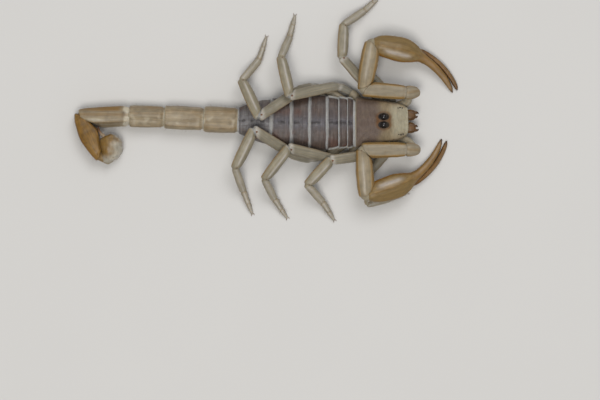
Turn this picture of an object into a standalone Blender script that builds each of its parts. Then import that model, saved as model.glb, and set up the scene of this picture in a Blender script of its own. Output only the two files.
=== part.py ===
"""Desert scorpion, life size, lying flat as a museum model.

Sizes are in millimetres and angles in degrees; meshes are made in metres. +X points to the head,
+Y to the animal's left and +Z up. The floor is z = 0, and the origin is the middle of the belly's
flat. Every piece is one closed solid of its own, with a small gap at each joint.
"""

import bmesh
import bpy
from math import ceil, cos, pi, radians, sin, sqrt
from mathutils import Vector

MM = 0.001
UP = Vector((0, 0, 1))
SIDES = {"left": 1, "right": -1}

JOINT_GAP = 0.2          # between two pieces that meet at a joint
PLATE_GAP = 0.3          # between two rings of the abdomen or the tail
TURN_REACH = 0.7         # how far either side of a bend a limb is rounded
LAYER_STEP = 0.06        # least distance between the sections next to a joint
DOME_SCALE = 0.55        # size of the last section of a domed end
DOME_REACH = 0.83        # how far a domed end stands out, as a share of its half size
EDGE_ANGLE = 40          # edges sharper than this stay crisp

# Head shield: its midline leans a little to the animal's left. Each row is a place along the
# body, then half width, top and underside there.
CARAPACE_REAR = 5.55
CARAPACE_FRONT = 14.0
CARAPACE_LEAN = 0.024
CARAPACE_WAIST = 0.25    # height of the widest line, as a share of the shield's thickness
CARAPACE_ROWS = (
    (CARAPACE_REAR, 4.1, 3.85, 2.0),
    (6.0, 4.18, 4.05, 2.0),
    (8.0, 3.82, 4.2, 2.05),
    (9.8, 3.5, 4.15, 2.1),
    (11.6, 3.2, 3.9, 2.15),
    (12.4, 3.06, 3.72, 2.7),
    (12.8, 2.98, 3.6, 2.75),
    (13.6, 2.7, 3.38, 2.8),
    (CARAPACE_FRONT, 2.35, 3.15, 2.85),
)
EYE_X = 10.1
EYE_MIDLINE = 0.26
EYE_SPACING = 1.3
EYE_RADIUS = 0.52
EYE_SEAT = 0.12          # middle of an eye above the shield's own top
EYE_CLEARANCE = 0.1
TUBERCLE_HEIGHT = 0.5
TUBERCLE_LENGTH = 1.5
TUBERCLE_WIDTH = 1.15
CARAPACE_SECTIONS = (
    CARAPACE_REAR, 6.0, 7.4, 8.7, 9.4, EYE_X, 10.8, 11.6, 12.4, 13.2, 13.7, CARAPACE_FRONT,
)

# Underside of the head: a middle plate (place, half width, top), the hip segments of the legs
# (where each begins beside the plate) and the roots of the pincer limbs.
PLATE_ROWS = ((4.6, 1.3, 1.45), (6.0, 1.9, 1.6), (9.0, 2.2, 1.7), (11.8, 1.9, 1.5), (12.9, 1.4, 1.0))
PLATE_BOTTOM = 0.25
HIP_ROOTS = {1: (11.9, 1.0), 2: (10.2, 0.9), 3: (8.4, 0.9), 4: (7.0, 0.9)}
HIP_HEIGHT = 0.95
HIP_ROWS = ((0.0, 0.6, 0.5, 0.5), (0.35, 0.85, 0.62, 0.62), (1.0, 0.77, 0.62, 0.62))
PALP_ROOT_START = (10.9, 2.1, 1.2)
PALP_ROOT_END = (13.75, 2.95, 1.85)
PALP_ROOT_ROWS = ((0.0, 0.6, 0.6, 0.5), (0.5, 0.72, 0.7, 0.7), (1.0, 0.68, 0.65, 0.65))

# Jaws: a stout base with a fixed and a moving finger each.
JAW_MIDDLE = 1.02
JAW_LINE = ((12.75, 1.85), (14.9, 2.0))
JAW_ROWS = (
    (0.0, 0.7, 0.5, 0.5),
    (0.3, 0.82, 0.62, 0.6),
    (0.8, 0.86, 0.66, 0.66),
    (1.0, 0.7, 0.55, 0.55),
)
JAW_FINGER_ROOT = (14.85, 2.05)
JAW_FINGERS = {"fixed": (-0.28, 0.62), "moving": (0.38, 0.78)}
JAW_FINGER_ROWS = ((0.0, 0.3, 0.32, 0.32), (1.0, 0.1, 0.12, 0.12))

# Abdomen: where one ring ends and the next begins, from the head shield back to the tail. Each
# row is a place, then half width, top, height of the widest line, and underside.
RING_EDGES = (5.35, 4.4, 3.0, 1.1, -1.7, -4.6, -7.75, -13.0)
RING_ROWS = (
    (RING_EDGES[7], 2.0, 3.15, 1.55, -0.05),
    (-11.0, 2.9, 3.25, 1.55, -0.08),
    (-9.3, 3.5, 3.35, 1.5, -0.1),
    (RING_EDGES[6], 3.8, 3.45, 1.5, -0.1),
    (RING_EDGES[5], 4.2, 3.6, 1.5, -0.12),
    (RING_EDGES[4], 4.5, 3.7, 1.5, -0.12),
    (RING_EDGES[3], 4.6, 3.75, 1.6, -0.12),
    (RING_EDGES[2], 4.38, 3.75, 1.75, -0.1),
    (RING_EDGES[0], 4.15, 3.75, 2.3, 0.0),
)
LIFTED_RINGS = 3         # these lie over the hip segments and the combs
BELLY_LIFT = 1.75        # and this is how high their underside is
RING_STEP = 1.3          # longest stretch between two sections of a ring
RING_TUCK = 0.96         # size of a ring's front edge, which slips under the ring before it

# Combs: two flat plates under the third ring, toothed along the rear edge.
COMB_TEETH = 11
COMB_ROOT = (3.45, 0.8, 0.75)
COMB_HEADING = 122
COMB_LENGTH = 3.2
COMB_THICKNESS = 0.5
COMB_FRONT = ((0.0, 0.0), (0.5, -0.22), (1.0, 0.25))
COMB_TOOTH_DEPTH = 1.25
COMB_NOTCH_DEPTH = 0.72
COMB_TAPER = 0.45

# Tail: one entry for each ring, I to V. Its rows are share of the length and how much of the half
# width, of the thickness towards the back and of the thickness towards the belly is there. The
# belly side also tapers towards the far end of the last two rings.
TAIL_ROOT = (-13.1, 0.35)
TAIL_LENGTHS = (5.4, 6.3, 5.6, 7.6, 6.2)
TAIL_HEADINGS = (177.5, 177.0, 178.5, 182.3, 298.0)
TAIL_WIDTHS = (4.2, 3.8, 3.4, 3.15, 3.0)
TAIL_DEPTHS = (3.3, 3.2, 3.1, 3.1, 3.15)
TAIL_ROLLS = (0, 6, 24, 68, 84)
TAIL_TAPERS = (0, 0, 0, 0.2, 0.1)
TAIL_ROWS = (
    (0.0, 0.8, 0.8, 0.86),
    (0.12, 0.95, 0.93, 1.0),
    (0.5, 1.0, 0.98, 1.0),
    (0.86, 1.0, 1.0, 1.0),
    (1.0, 0.9, 0.9, 0.93),
)

# Venom bulb, folded back beside ring V: where it starts from that ring's end, and the headings and
# lengths of its two stretches. Its rows are share of the length, half width, and thickness
# towards the back and towards the belly.
TAIL_END_CUT = 62        # heading that, with ring V's own, gives the cut between it and the bulb
BULB_START = (0.98, -1.2)
BULB_HEIGHTS = (1.5, 1.75, 2.0)
BULB_BENDS = ((78, 1.7), (108, 1.95))
BULB_ROWS = (
    (0.0, 0.8, 0.4, 1.0),
    (0.15, 1.15, 0.6, 1.8),
    (0.4, 1.42, 0.85, 2.5),
    (0.68, 1.38, 0.9, 2.6),
    (0.88, 1.05, 0.75, 2.15),
    (1.0, 0.6, 0.5, 1.3),
)
STING_LENGTH = 2.2
STING_RISE = 1.25
STING_HEADINGS = (150, 80)
STING_START = 0.36       # middle of its first section beyond the bulb
STING_THICKNESS = 0.66
STING_TAPER = 0.8
STING_STEPS = 7

# Pincer limbs: where the trochanter meets the femur, then heading and length of the next pieces,
# and the heights of the bends between them.
PALP_SHOULDERS = {"left": (13.55, 4.75, 3.4), "right": (13.6, -4.3, 3.65)}
PALP_CAP = (1.5, 0.0, -0.45)
PALP_FEMUR = {"left": (175.2, 6.65), "right": (181.3, 6.85)}
PALP_PATELLA = {"left": (80.3, 7.4), "right": (-85.5, 7.2)}
PALP_HAND_HEADING = {"left": -11.0, "right": 17.0}
PALP_ELBOW_HEIGHT = 4.5
PALP_WRIST_HEIGHT = 3.5
FINGERTIP_HEIGHT = 0.14
HAND_STRAIGHT = 4.5
HAND_ARC = 11.3
HAND_ARC_TURN = 55.0
HAND_STATIONS = (0.0, 1.5, 3.0, HAND_STRAIGHT, 6.0, 7.5, 9.0, 10.5, 12.0, 13.5, 14.7)
FINGER_ROOT = (8.3, 0.46, 0.95)
FINGER_LENGTH = 8.3
FINGER_TURN = (16.0, 57.0)
FINGER_TIP_HEIGHT = 0.2
FINGER_STEPS = 7

# Rows of the pincer limb's pieces: share of the length, half width, thickness up and down. The
# number after them is the roundness of the section: 2 is an ellipse, more is squarer.
PALP_SHAPES = {
    "trochanter": (((0.0, 0.95, 0.8, 0.8), (0.5, 1.15, 0.95, 0.95), (1.0, 1.1, 0.95, 0.95)), 2.4),
    "femur": ((
        (0.0, 1.05, 0.9, 0.9),
        (0.2, 1.2, 1.0, 0.95),
        (0.6, 1.27, 1.05, 0.95),
        (0.85, 1.25, 1.05, 0.95),
        (1.0, 1.2, 1.05, 0.95),
    ), 2.6),
    "patella": ((
        (0.0, 1.1, 1.05, 1.05),
        (0.25, 1.3, 1.2, 1.15),
        (0.5, 1.45, 1.25, 1.2),
        (0.8, 1.4, 1.25, 1.2),
        (1.0, 1.2, 1.15, 1.1),
    ), 2.8),
    "manus": ((
        (0.0, 0.95, 0.85, 0.85),
        (0.06, 1.5, 1.3, 1.3),
        (0.14, 1.82, 1.5, 1.5),
        (0.27, 2.0, 1.65, 1.65),
        (0.35, 1.92, 1.6, 1.6),
        (0.43, 1.5, 1.3, 1.25),
        (0.5, 0.85, 0.95, 0.55),
        (0.58, 0.64, 0.7, 0.45),
        (0.7, 0.55, 0.55, 0.45),
        (0.86, 0.45, 0.42, 0.4),
        (0.96, 0.3, 0.3, 0.3),
        (1.0, 0.14, 0.16, 0.16),
    ), 2.3),
}
FINGER_ROWS = (
    (0.0, 0.3, 0.36, 0.42),
    (0.14, 0.38, 0.42, 0.45),
    (0.5, 0.4, 0.42, 0.42),
    (0.85, 0.36, 0.34, 0.34),
    (0.97, 0.26, 0.26, 0.26),
    (1.0, 0.12, 0.14, 0.14),
)

# Legs: lengths of femur, patella, tibia and tarsus for each pair, front to back.
LEG_LENGTHS = {
    1: (4.9, 4.9, 3.6, 2.8),
    2: (7.35, 5.45, 4.6, 3.1),
    3: (8.5, 6.5, 4.5, 3.5),
    4: (9.7, 6.9, 4.8, 3.8),
}
# Half widths in the plane of the leg, and half thicknesses across it.
LEG_WIDTHS = {"femur": 0.9, "patella": 1.0, "tibia": 0.68, "tarsus": 0.42}
LEG_THICKNESSES = {"femur": 0.56, "patella": 0.62, "tibia": 0.5, "tarsus": 0.36}
FRONT_LEG_SCALE = 0.85
FOOT_HEIGHT = 0.15
# Each leg: where its hip segment ends, where its femur begins, the headings of the four pieces,
# and the heights of the knee, the patella's far end and the tibia's far end.
LEG_POSES = {
    ("left", 1): ((11.8, 3.1, 0.8), (11.0, 4.6, 0.95), (135, 84, -4, -9), (1.05, 1.0, 0.6)),
    ("right", 1): ((11.9, -3.1, 0.9), (11.0, -4.5, 1.0), (-133, -88, 14, 19), (1.05, 1.0, 0.6)),
    ("left", 2): ((9.5, 3.7, 1.0), (8.2, 4.9, 1.9), (131, 87, 35, 45), (3.6, 2.4, 0.8)),
    ("right", 2): ((9.6, -3.7, 1.0), (8.8, -5.0, 1.9), (187.5, 227, -49, -58), (3.6, 3.2, 0.8)),
    ("left", 3): ((5.0, 4.8, 1.0), (2.9, 5.9, 1.75), (192.4, 103, 68, 76), (4.95, 3.5, 0.85)),
    ("right", 3): ((5.0, -4.9, 1.0), (2.6, -5.9, 1.75), (166.0, 232.3, -64, -56), (5.15, 3.6, 0.85)),
    ("left", 4): ((1.4, 5.2, 0.9), (-2.2, 5.9, 1.85), (213.9, 115, 51, 73), (5.4, 3.0, 0.9)),
    ("right", 4): ((1.4, -5.2, 0.9), (-2.9, -5.9, 1.6), (148.6, 243.8, -71, -69), (5.35, 3.7, 0.9)),
}

COLOURS = {
    "shield": ((0.22, 0.18, 0.14), 0.4),
    "back": ((0.11, 0.085, 0.075), 0.42),
    "tail": ((0.26, 0.2, 0.135), 0.4),
    "tail_end": ((0.22, 0.125, 0.05), 0.38),
    "bulb": ((0.36, 0.31, 0.25), 0.35),
    "sting": ((0.12, 0.05, 0.02), 0.3),
    "pincer": ((0.24, 0.17, 0.095), 0.38),
    "finger": ((0.17, 0.095, 0.04), 0.36),
    "leg": ((0.25, 0.22, 0.17), 0.4),
    "underside": ((0.33, 0.29, 0.21), 0.45),
    "jaw": ((0.3, 0.24, 0.15), 0.4),
    "comb": ((0.42, 0.38, 0.3), 0.5),
    "eye": ((0.008, 0.007, 0.006), 0.08),
}


def clear_scene():
    """Remove whatever the file holds."""
    for thing in list(bpy.data.objects):
        bpy.data.objects.remove(thing)


def make_finish(name, colour, roughness):
    """Make one plain Principled material."""
    finish = bpy.data.materials.new(name)
    finish.use_nodes = True
    shader = finish.node_tree.nodes["Principled BSDF"]
    shader.inputs["Base Color"].default_value = (*colour, 1.0)
    shader.inputs["Roughness"].default_value = roughness
    shader.inputs["Metallic"].default_value = 0.0
    return finish


class Builder:
    """Makes the named objects, each with its own material, under one parent."""

    def __init__(self):
        self.parent = bpy.data.objects.new("scorpion", None)
        bpy.context.collection.objects.link(self.parent)

    def add(self, name, form, finish, anchor):
        """Turn a bmesh in millimetres into an object that stands at its anchor."""
        place = Vector(anchor)
        for vertex in form.verts:
            vertex.co = (vertex.co - place) * MM
        bmesh.ops.recalc_face_normals(form, faces=form.faces)
        mesh = bpy.data.meshes.new(name)
        form.to_mesh(mesh)
        form.free()
        mesh.shade_smooth()
        mesh.set_sharp_from_angle(angle=radians(EDGE_ANGLE))
        colour, roughness = COLOURS[finish]
        mesh.materials.append(make_finish(name, colour, roughness))
        thing = bpy.data.objects.new(name, mesh)
        thing.location = place * MM
        thing.parent = self.parent
        bpy.context.collection.objects.link(thing)
        return thing


def heading_vector(heading):
    """Level unit vector from a heading in plan."""
    return Vector((cos(radians(heading)), sin(radians(heading)), 0))


def step_to(start, heading, length, height):
    """The far end of a straight piece with a given heading, length and end height."""
    drop = height - start.z
    run = sqrt(max(length ** 2 - drop ** 2, 0.0))
    return start + heading_vector(heading) * run + UP * drop


def between(table, place):
    """Read a table of (place, value, value...) rows at a place, in straight steps."""
    rows = sorted(table)
    if place <= rows[0][0]:
        return rows[0][1:]
    for low, high in zip(rows, rows[1:]):
        if place <= high[0]:
            share = (place - low[0]) / (high[0] - low[0])
            return tuple(a + share * (b - a) for a, b in zip(low[1:], high[1:]))
    return rows[-1][1:]


def section(count, half_width, top, bottom, power):
    """Points round a section: (across, up) pairs of a rounded, flattened outline."""
    points = []
    for k in range(count):
        angle = 2 * pi * (k + 0.5) / count
        across = half_width * abs(cos(angle)) ** (2 / power)
        rise = abs(sin(angle)) ** (2 / power)
        side = 1 if cos(angle) > 0 else -1
        points.append((side * across, rise * top if sin(angle) > 0 else -rise * bottom))
    return points


def close_rings(rings):
    """Skin a list of rings of points with faces and close both ends."""
    form = bmesh.new()
    loops = [[form.verts.new(point) for point in ring] for ring in rings]
    count = len(loops[0])
    for one, two in zip(loops, loops[1:]):
        for k in range(count):
            form.faces.new((one[k], one[(k + 1) % count], two[(k + 1) % count], two[k]))
    form.faces.new(loops[0])
    form.faces.new(loops[-1])
    return form


def rest_on_floor(rings):
    """Flatten whatever would reach below the floor."""
    for ring in rings:
        for point in ring:
            point.z = max(point.z, 0.0)
    return rings


class Path:
    """A line of straight runs, read by the distance along it, with its bends eased."""

    def __init__(self, points):
        self.points = [Vector(point) for point in points]
        self.marks = [0.0]
        for one, two in zip(self.points, self.points[1:]):
            self.marks.append(self.marks[-1] + (two - one).length)

    @property
    def length(self):
        return self.marks[-1]

    def at(self, distance):
        """The point at a distance from the start, past either end too."""
        for k in range(len(self.points) - 1):
            if distance <= self.marks[k + 1] or k == len(self.points) - 2:
                run = self.points[k + 1] - self.points[k]
                return self.points[k] + run.normalized() * (distance - self.marks[k])

    def direction(self, distance):
        """The way the line runs at a distance from the start."""
        return (self.at(distance + TURN_REACH) - self.at(distance - TURN_REACH)).normalized()


class Joint:
    """A cut across a bend: it keeps the two pieces that meet there apart."""

    def __init__(self, place, outward, onward, gap=JOINT_GAP):
        self.place = Vector(place)
        self.normal = (outward.normalized() + onward.normalized()).normalized()
        self.gap = gap

    def pull_back(self, point, outward, margin):
        """Move a point back along its piece until it is on its own side of the cut."""
        past = (point - self.place).dot(self.normal) + margin
        if past <= 0:
            return point
        return point - outward * (past / max(outward.dot(self.normal), 0.2))


def sweep(path, rows, up, start=None, end=None, count=8, power=2.4, rounded=(True, True)):
    """Rings of a limb piece.

    rows holds (share of the length, half width, top, bottom). up is the piece's dorsal side.
    start and end are the joints at its ends, and rounded says which ends are domed.
    """
    layers = [(*row, 1.0, 0.0) for row in rows]
    if rounded[0]:
        layers.insert(0, (*rows[0], DOME_SCALE, -DOME_REACH))
    if rounded[1]:
        layers.append((*rows[-1], DOME_SCALE, DOME_REACH))
    rings = []
    for k, (share, half_width, top, bottom, scale, bulge) in enumerate(layers):
        distance = share * path.length
        direction = path.direction(distance)
        across = direction.cross(up).normalized()
        lift = across.cross(direction).normalized()
        place = path.at(distance) + direction * bulge * min(half_width, top)
        outline = section(count, half_width * scale, top * scale, bottom * scale, power)
        ring = [place + across * a + lift * b for a, b in outline]
        for joint, side, layers_away in ((start, -1, k), (end, 1, len(layers) - 1 - k)):
            if joint is not None:
                margin = joint.gap / 2 + LAYER_STEP * layers_away
                ring = [joint.pull_back(point, direction * side, margin) for point in ring]
        rings.append(ring)
    return rest_on_floor(rings)


def carapace_midline(x):
    """Where the head shield's middle lies at a place along the body."""
    return CARAPACE_LEAN * (x - CARAPACE_REAR)


def tubercle(x, y):
    """Height that the eye mound adds to the head shield."""
    away = ((x - EYE_X) / TUBERCLE_LENGTH) ** 2 + ((y - EYE_MIDLINE) / TUBERCLE_WIDTH) ** 2
    return TUBERCLE_HEIGHT * (1.0 - away) ** 0.7 if away < 1.0 else 0.0


def carapace_rings():
    """Cross sections of the head shield from its rear edge to its front edge."""
    rings = []
    for x in CARAPACE_SECTIONS:
        half_width, top, under = between(CARAPACE_ROWS, x)
        waist = under + CARAPACE_WAIST * (top - under)
        ring = []
        for across, rise in section(24, half_width, top - waist, waist - under, 2.3):
            y = across + carapace_midline(x)
            lift = tubercle(x, y) if rise > 0 else 0.0
            ring.append(Vector((x, y, waist + rise + lift)))
        rings.append(ring)
    return rings


def eye_centre(side):
    """Middle of one of the two main eyes, on the flank of its mound."""
    top = between(CARAPACE_ROWS, EYE_X)[1]
    return Vector((EYE_X, EYE_MIDLINE + SIDES[side] * EYE_SPACING / 2, top + EYE_SEAT))


def ball(centre, radius):
    """A round ball of triangles."""
    form = bmesh.new()
    bmesh.ops.create_icosphere(form, subdivisions=2, radius=radius)
    bmesh.ops.translate(form, verts=form.verts, vec=centre)
    return form


def apply_boolean(target, tool, operation):
    """Join or cut a solid with another one, which stays as a hidden guide."""
    cut = target.modifiers.new(tool.name, "BOOLEAN")
    cut.object = tool
    cut.operation = operation
    cut.solver = "EXACT"
    tool.hide_render = True
    tool.display_type = "WIRE"


def build_head(builder):
    """Head shield with a socket for each eye, and the two eyes."""
    rear = (CARAPACE_REAR, 0, 0)
    shield = builder.add("carapace", close_rings(carapace_rings()), "shield", rear)
    for side in SIDES:
        centre = eye_centre(side)
        socket = builder.add(f"socket_{side}", ball(centre, EYE_RADIUS + EYE_CLEARANCE), "eye", centre)
        apply_boolean(shield, socket, "DIFFERENCE")
        builder.add(f"eye_{side}", ball(centre, EYE_RADIUS), "eye", centre)


def hip_root(side, pair):
    """Where a leg's hip segment begins, beside the middle plate."""
    x, y = HIP_ROOTS[pair]
    return Vector((x, SIDES[side] * y, HIP_HEIGHT))


def build_hip(side, pair):
    """Rings of one hip segment, cut square to the bend where the leg goes on."""
    far, femur_root = (Vector(place) for place in LEG_POSES[(side, pair)][:2])
    line = Path([hip_root(side, pair), far])
    cut = Joint(far, line.direction(line.length), femur_root - far)
    return sweep(line, HIP_ROWS, UP, end=cut, power=2.6, rounded=(False, False))


def build_underside(builder):
    """Middle plate with the eight hip segments and the two pincer roots, as one solid."""
    rings = []
    for x, half_width, top in PLATE_ROWS:
        middle = (top + PLATE_BOTTOM) / 2
        outline = section(10, half_width, top - middle, middle - PLATE_BOTTOM, 3.0)
        rings.append([Vector((x, across, middle + rise)) for across, rise in outline])
    body = builder.add("coxosternum", close_rings(rings), "underside", (PLATE_ROWS[0][0], 0, 0))
    for side, sign in SIDES.items():
        for pair in HIP_ROOTS:
            hip = close_rings(build_hip(side, pair))
            tool = builder.add(f"hip_{side}_{pair}", hip, "underside", hip_root(side, pair))
            apply_boolean(body, tool, "UNION")
        start, far = (Vector((x, sign * y, z)) for x, y, z in (PALP_ROOT_START, PALP_ROOT_END))
        far.y += carapace_midline(CARAPACE_FRONT)
        root = sweep(Path([start, far]), PALP_ROOT_ROWS, UP, power=2.6, rounded=(False, False))
        tool = builder.add(f"palp_root_{side}", close_rings(root), "underside", start)
        apply_boolean(body, tool, "UNION")


def build_jaws(builder):
    """The two chelicerae: a stout base with a fixed and a moving finger."""
    for side, sign in SIDES.items():
        middle = carapace_midline(CARAPACE_FRONT) + sign * JAW_MIDDLE
        line = Path([(x, middle, z) for x, z in JAW_LINE])
        base = sweep(line, JAW_ROWS, UP, power=2.8, rounded=(False, True), count=10)
        jaw = builder.add(f"chelicera_{side}", close_rings(base), "jaw", line.points[0])
        for name, (offset, reach) in JAW_FINGERS.items():
            x, z = JAW_FINGER_ROOT
            root = Vector((x, middle + sign * offset, z))
            tip = root + Vector((reach, -sign * 0.18, -0.12))
            finger = sweep(Path([root, tip]), JAW_FINGER_ROWS, UP, count=6, rounded=(False, True))
            tool = builder.add(f"jaw_{name}_{side}", close_rings(finger), "jaw", root)
            apply_boolean(jaw, tool, "UNION")


def ring_midline(x):
    """Sideways place of the abdomen's middle: it leans a little towards the tail's root."""
    straight_end = RING_EDGES[5]
    return TAIL_ROOT[1] * max(0.0, (straight_end - x) / (straight_end - TAIL_ROOT[0]))


def build_abdomen(builder):
    """Seven rings; the last one narrows to the tail."""
    for number, (front, rear) in enumerate(zip(RING_EDGES, RING_EDGES[1:]), start=1):
        front -= PLATE_GAP / 2
        rear += PLATE_GAP / 2
        steps = max(2, ceil((front - rear) / RING_STEP))
        rings = []
        for k in range(steps + 1):
            x = front + (rear - front) * k / steps
            half_width, top, waist, under = between(RING_ROWS, x)
            if number <= LIFTED_RINGS:
                under = max(under, BELLY_LIFT)
            tuck = RING_TUCK if k == 0 else 1.0
            outline = section(22, half_width * tuck, (top - waist) * tuck, waist - under, 2.3)
            middle = ring_midline(x)
            rings.append([Vector((x, middle + a, waist + b)) for a, b in outline])
        form = close_rings(rest_on_floor(rings))
        builder.add(f"mesosoma_{number}", form, "back", (front, ring_midline(front), 0))


def comb_outline():
    """Points round a comb, along its length and back from its front edge."""
    outline = [(share * COMB_LENGTH, back) for share, back in COMB_FRONT]
    pitch = COMB_LENGTH / COMB_TEETH
    for k in range(COMB_TEETH, 0, -1):
        end = pitch * k
        taper = 1.0 - COMB_TAPER * k / COMB_TEETH
        tooth, notch = COMB_TOOTH_DEPTH * taper, COMB_NOTCH_DEPTH * taper
        outline += [(end - 0.07 * pitch, tooth), (end - 0.83 * pitch, tooth), (end - 0.93 * pitch, notch)]
    return outline


def build_combs(builder):
    """The two pectines: flat combs under the third ring, with a row of teeth."""
    for side, sign in SIDES.items():
        form = bmesh.new()
        x, y, z = COMB_ROOT
        root = Vector((x, sign * y, z))
        along = heading_vector(sign * COMB_HEADING)
        back = heading_vector(sign * (COMB_HEADING + 90))
        points = [root + along * a + back * b for a, b in comb_outline()]
        face = form.faces.new([form.verts.new(point) for point in points])
        bmesh.ops.triangulate(form, faces=[face])
        sheet = bmesh.ops.extrude_face_region(form, geom=list(form.faces))
        raised = [item for item in sheet["geom"] if isinstance(item, bmesh.types.BMVert)]
        bmesh.ops.translate(form, verts=raised, vec=UP * COMB_THICKNESS)
        builder.add(f"pecten_{side}", form, "comb", root)


def tail_dorsal(heading, roll):
    """The way a tail ring's back faces: up, rolled over to the left of its heading."""
    return UP * cos(radians(roll)) + heading_vector(heading + 90) * sin(radians(roll))


def tail_joints():
    """The bends of the tail from its root to the end of the last ring."""
    plan = Vector((*TAIL_ROOT, 0))
    points = []
    lift = 0.0
    for length, heading, width, depth, roll in zip(TAIL_LENGTHS, TAIL_HEADINGS, TAIL_WIDTHS,
                                                   TAIL_DEPTHS, TAIL_ROLLS):
        lift = max(depth * cos(radians(roll)), width * sin(radians(roll))) / 2
        points.append(plan + UP * lift)
        plan = plan + heading_vector(heading) * length
    points.append(plan + UP * lift)
    return points


def build_tail(builder):
    """Five rings, the bulb and the sting."""
    joints = tail_joints()
    ways = [(two - one).normalized() for one, two in zip(joints, joints[1:])]
    ways.append(heading_vector(TAIL_END_CUT))
    for k, (width, depth, taper) in enumerate(zip(TAIL_WIDTHS, TAIL_DEPTHS, TAIL_TAPERS)):
        rows = [(share, a * width / 2, b * depth / 2, c * (1 - taper * share ** 2) * depth / 2)
                for share, a, b, c in TAIL_ROWS]
        before = ways[max(k - 1, 0)]
        start = Joint(joints[k], -ways[k], -before, PLATE_GAP)
        end = Joint(joints[k + 1], ways[k], ways[k + 1], PLATE_GAP)
        rings = sweep(Path(joints[k:k + 2]), rows, tail_dorsal(TAIL_HEADINGS[k], TAIL_ROLLS[k]),
                      start, end, count=16, power=3.0, rounded=(k == 4, k >= 3))
        finish = "tail_end" if k == 4 else "tail"
        builder.add(f"metasoma_{k + 1}", close_rings(rings), finish, joints[k])
    build_bulb(builder, joints[-1])


def build_bulb(builder, tail_end):
    """The venom bulb and the curved sting at its far end."""
    place = Vector((tail_end.x + BULB_START[0], tail_end.y + BULB_START[1], BULB_HEIGHTS[0]))
    points = [place]
    for (heading, length), height in zip(BULB_BENDS, BULB_HEIGHTS[1:]):
        place = step_to(place, heading, length, height)
        points.append(place)
    line = Path(points)
    dorsal = tail_dorsal(BULB_BENDS[-1][0], TAIL_ROLLS[-1])
    rings = sweep(line, BULB_ROWS, dorsal, count=14, power=2.1, rounded=(True, False))
    builder.add("telson", close_rings(rings), "bulb", points[0])

    place = line.at(line.length) + line.direction(line.length) * STING_START
    points = [place]
    first, last = STING_HEADINGS
    for k in range(STING_STEPS):
        heading = first + (last - first) * (k + 0.5) / STING_STEPS
        place = place + (heading_vector(heading) * STING_LENGTH + UP * STING_RISE) / STING_STEPS
        points.append(place)
    rows = []
    for k in range(STING_STEPS + 1):
        half = STING_THICKNESS / 2 * (1 - STING_TAPER * k / STING_STEPS)
        rows.append((k / STING_STEPS, half, half, half))
    rings = sweep(Path(points), rows, UP, count=8, power=2.0, rounded=(False, False))
    builder.add("aculeus", close_rings(rings), "sting", points[0])


def chela_point(side, root, forward, outward, height):
    """A point of the pincer's hand from its own directions."""
    heading = PALP_HAND_HEADING[side]
    ahead = heading_vector(heading)
    aside = heading_vector(heading + 90 * SIDES[side])
    place = root + ahead * forward + aside * outward
    return Vector((place.x, place.y, height))


def hand_line(side, root):
    """The line of the hand and its fixed finger: straight, then bending inwards."""
    radius = HAND_ARC / radians(HAND_ARC_TURN)
    total = HAND_STRAIGHT + HAND_ARC
    points = []
    for distance in (*HAND_STATIONS, total):
        turn = max(0.0, distance - HAND_STRAIGHT) / radius
        forward = min(distance, HAND_STRAIGHT) + radius * sin(turn)
        height = PALP_WRIST_HEIGHT + (FINGERTIP_HEIGHT - PALP_WRIST_HEIGHT) * distance / total
        points.append(chela_point(side, root, forward, -radius * (1 - cos(turn)), height))
    return Path(points)


def finger_line(side, root):
    """The line of the moving finger: an arc beside and below the fixed finger."""
    low, high = (radians(angle) for angle in FINGER_TURN)
    radius = FINGER_LENGTH / (high - low)
    forward, outward, height = FINGER_ROOT
    points = []
    for k in range(FINGER_STEPS + 1):
        share = k / FINGER_STEPS
        turn = low + (high - low) * share
        ahead = forward + radius * (sin(turn) - sin(low))
        aside = outward - radius * (cos(low) - cos(turn))
        level = height + (FINGER_TIP_HEIGHT - height) * share
        points.append(chela_point(side, root, ahead, aside, level))
    return Path(points)


def palp_joints(side):
    """Trochanter end, shoulder, elbow and wrist of a pincer limb."""
    shoulder = Vector(PALP_SHOULDERS[side])
    elbow = step_to(shoulder, *PALP_FEMUR[side], PALP_ELBOW_HEIGHT)
    wrist = step_to(elbow, *PALP_PATELLA[side], PALP_WRIST_HEIGHT)
    return shoulder + Vector(PALP_CAP), shoulder, elbow, wrist


def build_pincer(builder, side):
    """One pincer limb: trochanter, femur, patella, hand with fixed finger, moving finger."""
    cap, shoulder, elbow, wrist = palp_joints(side)
    lines = [Path([cap, shoulder]), Path([shoulder, elbow]), Path([elbow, wrist]), hand_line(side, wrist)]
    starts = [line.direction(0.0) for line in lines]
    ends = [line.direction(line.length) for line in lines]
    for k, (name, (rows, power)) in enumerate(PALP_SHAPES.items()):
        line = lines[k]
        start = Joint(line.points[0], -starts[k], -ends[k - 1]) if k > 0 else None
        end = Joint(line.points[-1], ends[k], starts[k + 1]) if k < 3 else None
        rings = sweep(line, rows, UP, start, end, count=14, power=power, rounded=(True, k < 3))
        finish = "pincer" if k > 1 else "leg"
        builder.add(f"pedipalp_{side}_{name}", close_rings(rings), finish, line.points[0])
    line = finger_line(side, wrist)
    rings = sweep(line, FINGER_ROWS, UP, count=8, power=2.2, rounded=(True, False))
    builder.add(f"pedipalp_{side}_finger", close_rings(rings), "finger", line.points[0])


def leg_joints(side, pair):
    """Hip end, femur root, knee, patella end, tibia end and tip of a leg."""
    hip, root, headings, heights = LEG_POSES[(side, pair)]
    points = [Vector(hip), Vector(root)]
    for heading, length, level in zip(headings, LEG_LENGTHS[pair], (*heights, FOOT_HEIGHT)):
        points.append(step_to(points[-1], heading, length, level))
    return points


def leg_rows(pair, part, shares):
    """Rows of a leg piece from (share of the length, share of the width, of the thickness)."""
    scale = FRONT_LEG_SCALE if pair == 1 else 1.0
    wide, thick = LEG_WIDTHS[part] * scale, LEG_THICKNESSES[part] * scale
    return [(share, wide * w, thick * t, thick * t) for share, w, t in shares]


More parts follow.
